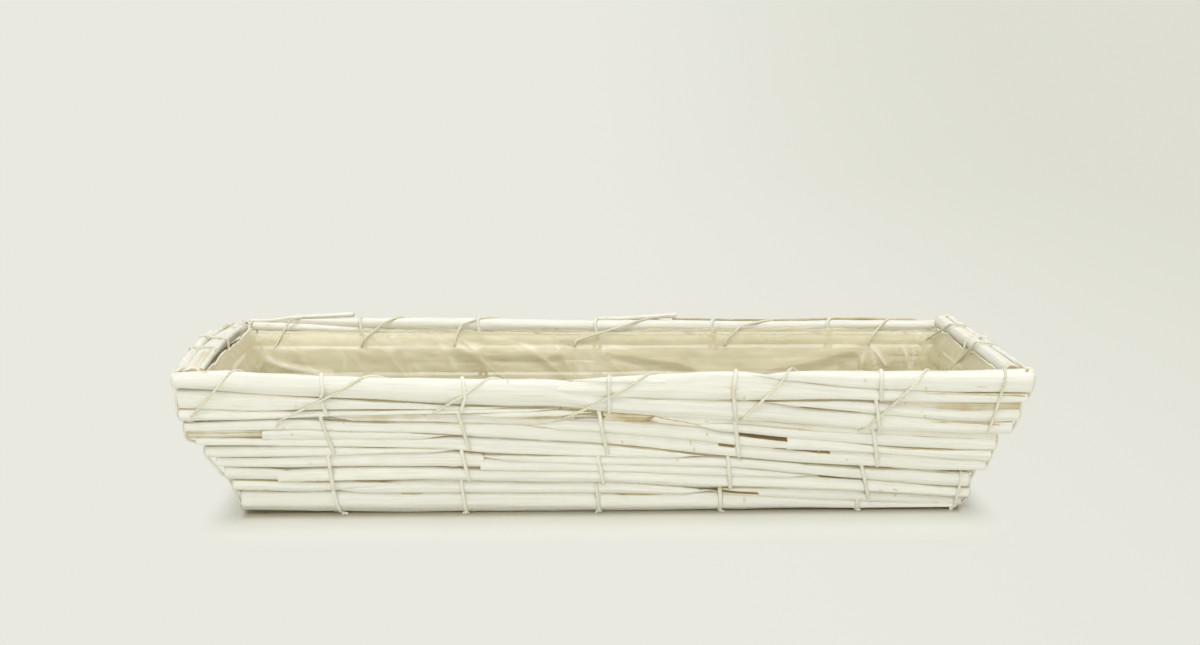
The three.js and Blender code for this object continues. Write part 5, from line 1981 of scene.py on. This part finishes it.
class NodeBoard:
    """Node tree of a material or a world, with short calls to add and join nodes."""

    def __init__(self, owner: bpy.types.Material | bpy.types.World) -> None:
        """Starts with an empty tree."""
        owner.use_nodes = True
        self.tree = owner.node_tree
        self.tree.nodes.clear()

    def feed(self, target: Socket, value: object) -> None:
        """Joins an output to an input, or sets the input's own value; a colour gets an alpha of 1."""
        if isinstance(value, Socket):
            self.tree.links.new(value, target)
        else:
            target.default_value = (*value, 1.0) if target.type == "RGBA" else value

    def add(
        self, kind: str, feeds: dict[str | int, object] | None = None, **settings: object
    ) -> bpy.types.Node:
        """New node of a kind, with its settings and with what its inputs are fed."""
        node = self.tree.nodes.new(kind)
        for key, value in settings.items():
            setattr(node, key, value)
        for key, value in (feeds or {}).items():
            self.feed(node.inputs[key], value)
        return node

    def attribute(self, name: str) -> Socket:
        """Number that the mesh stores at each point."""
        return self.add("ShaderNodeAttribute", attribute_name=name).outputs["Fac"]

    def noise(self, scale: tuple[float, float, float], detail: float, on_uv: bool = True) -> Socket:
        """Noise on the piece's length map, or on object coordinates, stretched by scale per metre."""
        place = self.add("ShaderNodeTexCoord").outputs["UV" if on_uv else "Object"]
        mapping = self.add("ShaderNodeMapping", {"Vector": place, "Scale": scale})
        feeds = {"Vector": mapping.outputs["Vector"], "Scale": 1.0, "Detail": detail, "Roughness": 0.6}
        return self.add("ShaderNodeTexNoise", feeds).outputs["Fac"]

    def math(self, kind: str, *numbers: Socket | float) -> Socket:
        """Arithmetic on numbers or values."""
        return self.add("ShaderNodeMath", dict(enumerate(numbers)), operation=kind).outputs[0]

    def between(
        self, value: Socket, low: float, high: float, to_low: float = 0.0, to_high: float = 1.0
    ) -> Socket:
        """Value mapped smoothly from low..high to to_low..to_high."""
        feeds = {"Value": value, "From Min": low, "From Max": high, "To Min": to_low, "To Max": to_high}
        return self.add("ShaderNodeMapRange", feeds, interpolation_type="SMOOTHSTEP").outputs["Result"]

    def mix(self, share: Socket, one: Socket | Colour, other: Socket | Colour) -> Socket:
        """Colour between two colours or colour sockets."""
        node = self.add("ShaderNodeMix", {"Factor": share}, data_type="RGBA")
        for target, colour in zip([s for s in node.inputs if s.type == "RGBA"], (one, other)):
            self.feed(target, colour)
        return [s for s in node.outputs if s.type == "RGBA"][0]

    def seen_rays(self) -> Socket:
        """1 for rays that see a thing directly, in a mirror or through another thing, else 0."""
        path = self.add("ShaderNodeLightPath").outputs
        seen = self.math("MAXIMUM", path["Is Camera Ray"], path["Is Glossy Ray"])
        return self.math("MAXIMUM", seen, path["Is Transmission Ray"])


class MaterialBoard(NodeBoard):
    """Node tree of a new material with a Principled shader joined to its output."""

    def __init__(self, name: str) -> None:
        """Makes the material, the shader and the output."""
        self.material = bpy.data.materials.new(name)
        super().__init__(self.material)
        self.shader = self.add("ShaderNodeBsdfPrincipled")
        self.output = self.add("ShaderNodeOutputMaterial", {"Surface": self.shader.outputs["BSDF"]})

    def skin(self, feeds: dict[str, object]) -> None:
        """Feeds inputs of the shader."""
        for key, value in feeds.items():
            self.feed(self.shader.inputs[key], value)

    def bump(self, height: Socket, distance: float, strength: float) -> None:
        """Bump from a height, joined to the shader."""
        feeds = {"Height": height, "Distance": distance, "Strength": strength}
        self.skin({"Normal": self.add("ShaderNodeBump", feeds).outputs["Normal"]})


@dataclass(frozen=True)
class Whitewash:
    """Chalky whitewash brushed over reeds, thin in the grooves, with tan wood and flecks below; the wood and
    dark colours also paint shade in the crevices and under the foot.
    """

    wash: Colour = (0.88, 0.875, 0.80)
    cool_wash: Colour = (0.80, 0.80, 0.745)
    thin_wash: Colour = (0.78, 0.745, 0.59)
    wood: Colour = (0.60, 0.50, 0.29)
    dark: Colour = (0.24, 0.17, 0.08)
    fleck: Colour = (0.64, 0.50, 0.23)

    def material(self) -> bpy.types.Material:
        """Streaks along the reed on its length map, and patches on object coordinates."""
        board = MaterialBoard("whitewash")
        fine = board.noise((26, 1500, 1), 4)
        hair = board.noise((9, 3200, 1), 2)
        broad = board.noise((6, 240, 1), 3)
        patch = board.noise((26, 26, 26), 3, on_uv=False)
        chalk = board.noise((240, 900, 1), 3)
        spots = board.noise((170, 420, 1), 2)
        wear_and_painted_light = board.attribute("wear_and_painted_light")
        colour = board.mix(board.between(broad, 0.40, 0.70), self.wash, self.cool_wash)
        colour = board.mix(board.between(fine, 0.47, 0.74), colour, self.thin_wash)
        streak = board.math("MULTIPLY_ADD", fine, 0.5, -0.25)
        # Bare wood and painted shade from the mesh's mark, plus streaks and patches
        worn_and_shaded = board.math("ADD", board.math("MULTIPLY", wear_and_painted_light, 0.72), streak)
        worn_and_shaded = board.math("ADD", worn_and_shaded, board.between(patch, 0.35, 0.75, -0.14, 0.12))
        colour = board.mix(board.between(worn_and_shaded, 0.30, 0.72), colour, self.wood)
        colour = board.mix(board.between(worn_and_shaded, 0.62, 0.92), colour, self.dark)
        lines = board.math(
            "MULTIPLY", board.between(hair, 0.63, 0.73), board.between(patch, 0.38, 0.6, 0.1, 0.65),
        )
        colour = board.mix(lines, colour, self.wood)
        spot = board.math("MULTIPLY", board.between(spots, 0.71, 0.79), board.between(patch, 0.44, 0.62))
        colour = board.mix(board.math("MULTIPLY", spot, 0.6), colour, self.fleck)
        scar = board.between(board.math("ADD", board.attribute("knot"), streak), 0.5, 0.95)
        colour = board.mix(board.math("MULTIPLY", scar, 0.55), colour, self.fleck)
        rough = board.between(chalk, 0.3, 0.7, 0.74, 0.94)
        board.skin({"Base Color": colour, "Roughness": rough, "Specular IOR Level": 0.25})
        height = board.math("ADD", fine, board.math("MULTIPLY", broad, 1.4))
        height = board.math("ADD", height, board.math("MULTIPLY", chalk, 0.35))
        board.bump(height, 0.0006, 0.55)
        return board.material


@dataclass(frozen=True)
class PaperTwine:
    """Twisted paper twine, touched by the same wash."""

    light: Colour = (0.80, 0.775, 0.64)
    dark: Colour = (0.64, 0.60, 0.44)
    wash: Colour = (0.82, 0.81, 0.715)

    def material(self) -> bpy.types.Material:
        """Fibres along the twine, with painted shade in the groove between the plies."""
        board = MaterialBoard("paper_twine")
        fibre = board.noise((180, 2400, 1), 3)
        patch = board.noise((60, 60, 60), 2, on_uv=False)
        # Painted shade in the groove between the plies
        groove_shade = board.math("MULTIPLY", board.attribute("wear_and_painted_light"), 0.5)
        worn_and_shaded = board.math("ADD", groove_shade, board.math("MULTIPLY", fibre, 0.45))
        worn_and_shaded = board.math("ADD", worn_and_shaded, board.between(patch, 0.3, 0.7, -0.2, 0.2))
        colour = board.mix(board.between(worn_and_shaded, 0.2, 0.9), self.light, self.dark)
        washed = board.math(
            "MULTIPLY", board.attribute("knot"), board.between(patch, 0.32, 0.6, 0.9, 0.45),
        )
        colour = board.mix(washed, colour, self.wash)
        board.skin({"Base Color": colour, "Roughness": 0.8, "Specular IOR Level": 0.25})
        board.bump(fibre, 0.0003, 0.4)
        return board.material


@dataclass(frozen=True)
class ClearFoil:
    """Clear, slightly milky packing foil with a soft gloss, paler along its creases, where the foil lies
    double and a highlight is painted.
    """

    tint: Colour = (0.80, 0.725, 0.46)
    haze: Colour = (0.89, 0.83, 0.60)
    crease_highlight: Colour = (0.93, 0.91, 0.80)

    def material(self) -> bpy.types.Material:
        """See-through by alpha, denser where the foil is seen edge on, in milky patches and creases, with a
        painted highlight along the creases.
        """
        board = MaterialBoard("clear_foil")
        cloud = board.noise((11, 26, 1), 3)
        fine = board.noise((160, 160, 1), 3)
        fold = board.attribute("wear_and_painted_light")
        colour = board.mix(board.between(cloud, 0.35, 0.7), self.tint, self.haze)
        # Paler along the creases: a painted highlight
        colour = board.mix(board.between(fold, 0.15, 0.9, 0.0, 0.9), colour, self.crease_highlight)
        facing = board.add("ShaderNodeLayerWeight", {"Blend": 0.35}).outputs["Facing"]
        edge = board.math("MULTIPLY", facing, 0.25)
        alpha = board.math("ADD", edge, board.between(cloud, 0.3, 0.72, 0.26, 0.46))
        alpha = board.math("ADD", alpha, board.math("MULTIPLY", fold, 0.35))
        board.skin({"Base Color": colour, "Alpha": alpha, "Roughness": 0.18, "IOR": 1.5})
        board.bump(fine, 0.0004, 0.12)
        return board.material


@dataclass(frozen=True)
class Lamp:
    """Square soft lamp that faces the basket: place and size in metres, power in watts."""

    name: str
    place: tuple[float, float, float]
    power: float
    size: float = 1.2
    colour: Colour = (1.0, 0.997, 0.985)
    aim: tuple[float, float, float] = (0.0, 0.0, 0.05)

    def build(self) -> None:
        """Adds the lamp."""
        data = bpy.data.lights.new(self.name, "AREA")
        data.shape = "SQUARE"
        data.size = self.size
        data.energy = self.power
        data.color = self.colour
        away = np.array(self.place) - np.array(self.aim)
        away /= np.linalg.norm(away)
        side = np.cross([0.0, 1.0, 0.0], away)
        side /= np.linalg.norm(side)
        placed(self.name, data, (side, np.cross(away, side), away), np.array(self.place))


LAMPS = (
    Lamp("key", (-1.0, -2.2, 2.6), 33.0, 1.4), Lamp("top", (0.2, -0.3, 3.0), 37.0),
    Lamp("fill", (0.4, -2.9, 0.8), 21.0), Lamp("left", (-3.0, 0.3, 1.0), 7.0),
    Lamp("right", (3.0, 0.3, 1.0), 6.0), Lamp("back", (0.3, 2.9, 1.2), 15.0),
)


@dataclass(frozen=True)
class Studio:
    """Pale floor that curves up behind, with a painted contact shadow round the basket's foot and painted
    shade towards the right, soft lamps and an even surrounding light.

    Lengths of the sweep are in millimetres, the other lengths in metres.
    """

    floor: Colour = (0.77, 0.77, 0.71)
    world: Colour = (0.95, 0.95, 0.90)
    world_strength: float = 0.40
    seen: Colour = (0.815, 0.815, 0.745)
    seen_right_shade: Colour = (0.735, 0.737, 0.65)
    right_shade_fall: tuple[float, float] = (-0.1, 1.3)
    even_reach: float = 0.075
    contact_shadow_reach: float = 0.014
    contact_shadow_share: float = 0.75
    contact_shadow: Colour = (0.36, 0.32, 0.20)
    foot: tuple[float, float, float] = (0.262, 0.072, 0.0)
    end_pace: tuple[float, float, float] = (2.2, 1.0, 1.0)
    sweep_radius: float = 1500.0
    sweep_behind: float = 2200.0
    sweep_ahead: float = 20000.0
    sweep_tall: float = 3000.0
    sweep_half: float = 9000.0
    grain: tuple[float, float] = (1.01, 0.985)

    def sweep(self) -> None:
        """Floor and backdrop: a straight line, a quarter circle and an upright line carried sideways."""
        angle = np.linspace(0, math.pi / 2, 24)
        wall = self.sweep_behind + self.sweep_radius
        y = np.concatenate(
            [[-self.sweep_ahead], self.sweep_behind + self.sweep_radius * np.sin(angle), [wall]]
        )
        curve = self.sweep_radius * (1 - np.cos(angle))
        z = np.concatenate([[0.0], curve, [self.sweep_radius + self.sweep_tall]])
        x = np.array([-self.sweep_half, self.sweep_half])
        points = np.stack(np.broadcast_arrays(x[None, :], y[:, None], z[:, None]), axis=-1)
        piece = Surface(points, points[..., :2], False).build("floor_sweep")
        board = MaterialBoard("pale_floor")
        lighter, darker = (tuple(c * share for c in self.floor) for share in self.grain)
        colour = board.mix(board.noise((9, 9, 9), 2, on_uv=False), lighter, darker)
        distance = self.foot_distance(board)
        # Painted contact shadow: the floor's colour darkens close to the rectangle the basket stands on
        near = board.between(distance, 0.0, self.contact_shadow_reach, self.contact_shadow_share, 0.0)
        colour = board.mix(near, colour, self.contact_shadow)
        board.skin({"Base Color": colour, "Roughness": 0.9, "Specular IOR Level": 0.1})
        self.even_far_floor(board, distance)
        piece.data.materials.append(board.material)

    def foot_distance(self, board: NodeBoard) -> Socket:
        """Distance on the floor from the rectangle that the basket stands on, counted more at its ends."""
        away = board.add("ShaderNodeTexCoord").outputs["Object"]
        steps = (
            ("ABSOLUTE", {}), ("SUBTRACT", {1: self.foot}), ("MAXIMUM", {1: (0.0, 0.0, 0.0)}),
            ("MULTIPLY", {1: self.end_pace}),
        )
        for kind, feeds in steps:
            away = board.add("ShaderNodeVectorMath", {0: away, **feeds}, operation=kind).outputs["Vector"]
        return board.add("ShaderNodeVectorMath", {0: away}, operation="LENGTH").outputs["Value"]

    def even_far_floor(self, board: MaterialBoard, distance: Socket) -> None:
        """Shows the floor at its own even colour away from the basket where it is seen or mirrored, with
        painted shade that darkens it towards the right.
        """
        place = board.add("ShaderNodeTexCoord").outputs["Object"]
        # Painted shade: the seen colour darkens towards the right
        right_shade_share = board.between(
            board.add("ShaderNodeSeparateXYZ", {0: place}).outputs["X"], *self.right_shade_fall,
        )
        glow = board.add("ShaderNodeEmission", {"Color": board.mix(right_shade_share, self.seen, self.seen_right_shade)})
        far = board.math("MULTIPLY", board.between(distance, 0.0, self.even_reach), board.seen_rays())
        shaders = {0: far, 1: board.shader.outputs["BSDF"], 2: glow.outputs["Emission"]}
        mixed = board.add("ShaderNodeMixShader", shaders)
        board.feed(board.output.inputs["Surface"], mixed.outputs["Shader"])

    def surround(self) -> None:
        """World: even soft light, and a pale colour where it is seen or mirrored."""
        world = bpy.data.worlds.new("studio")
        bpy.context.scene.world = world
        board = NodeBoard(world)
        light = board.add("ShaderNodeBackground", {"Color": self.world, "Strength": self.world_strength})
        seen = board.add("ShaderNodeBackground", {"Color": self.seen})
        shaders = {0: board.seen_rays(), 1: light.outputs[0], 2: seen.outputs[0]}
        mixed = board.add("ShaderNodeMixShader", shaders)
        board.add("ShaderNodeOutputWorld", {"Surface": mixed.outputs[0]})

    def build(self) -> None:
        """Makes floor, lamps and world."""
        self.sweep()
        for lamp in LAMPS:
            lamp.build()
        self.surround()


@dataclass
class Basket:
    """All pieces of the basket in order of making."""

    finishes: dict[Slot, bpy.types.Material] = field(default_factory=dict)

    def dress(self, piece: Piece, slot: Slot, node: str | None) -> None:
        """Gives a piece the material of its slot and its body, and hides the model's part for the node it
        stands for.
        """
        piece.data.materials.append(self.finishes[slot])
        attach(piece, "root")
        if node:
            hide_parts(node)
        LOG.info("%s: %d faces", piece.name, len(piece.data.polygons))

    def build(self) -> None:
        """Makes and dresses every piece."""
        self.finishes = {
            Slot.REED: Whitewash().material(), Slot.TWINE: PaperTwine().material(),
            Slot.FOIL: ClearFoil().material(),
        }
        right = EndWallReeds(RIGHT, 200, RIGHT_SPLINTS, rim_radius=6.5, rim_taper=0.08, bark_and_shade=0.22)
        # The left end's larger bare-wood share paints the shade that falls on that end
        left = EndWallReeds(
            LEFT, 600, LEFT_SPLINTS, rim_radius=6.3, rim_taper=0.14, bark_and_shade=0.34, rim_out=4.5, rim_arch=3.0,
            rim_drop=0.9,
        )
        walls = (
            ReedWall(FRONT, TracedWallReeds(FRONT, 100).reeds()), ReedWall(RIGHT, right.reeds()),
            ReedWall(BACK, LaidWallReeds(BACK, 400).reeds() + BackRimReeds().reeds()),
            ReedWall(LEFT, left.reeds()),
        )
        reeds = [reed for walled in walls for reed in walled.reeds]
        for reed in reeds + BaseReeds().reeds() + BackRimSplints(walls[2]).reeds():
            self.dress(reed.build(), Slot.REED, reed.node)
        for piece, node in Ties(*walls).build():
            self.dress(piece, Slot.TWINE, node)
        lashing = RimLashing(walls)
        self.dress(lashing.build(), Slot.TWINE, "rim_lashing")
        piece = FoilLiner(lashing.holes()).build()
        self.dress(piece, Slot.FOIL, "foil_liner")


def main() -> None:
    """Builds the studio and the basket and reports each piece."""
    logging.basicConfig(level=logging.INFO, format="%(name)s: %(message)s")
    bpy.context.scene.view_settings.view_transform = "Standard"
    VIEW.build()
    Studio().build()
    Basket().build()


if __name__ == "__main__":
    main()
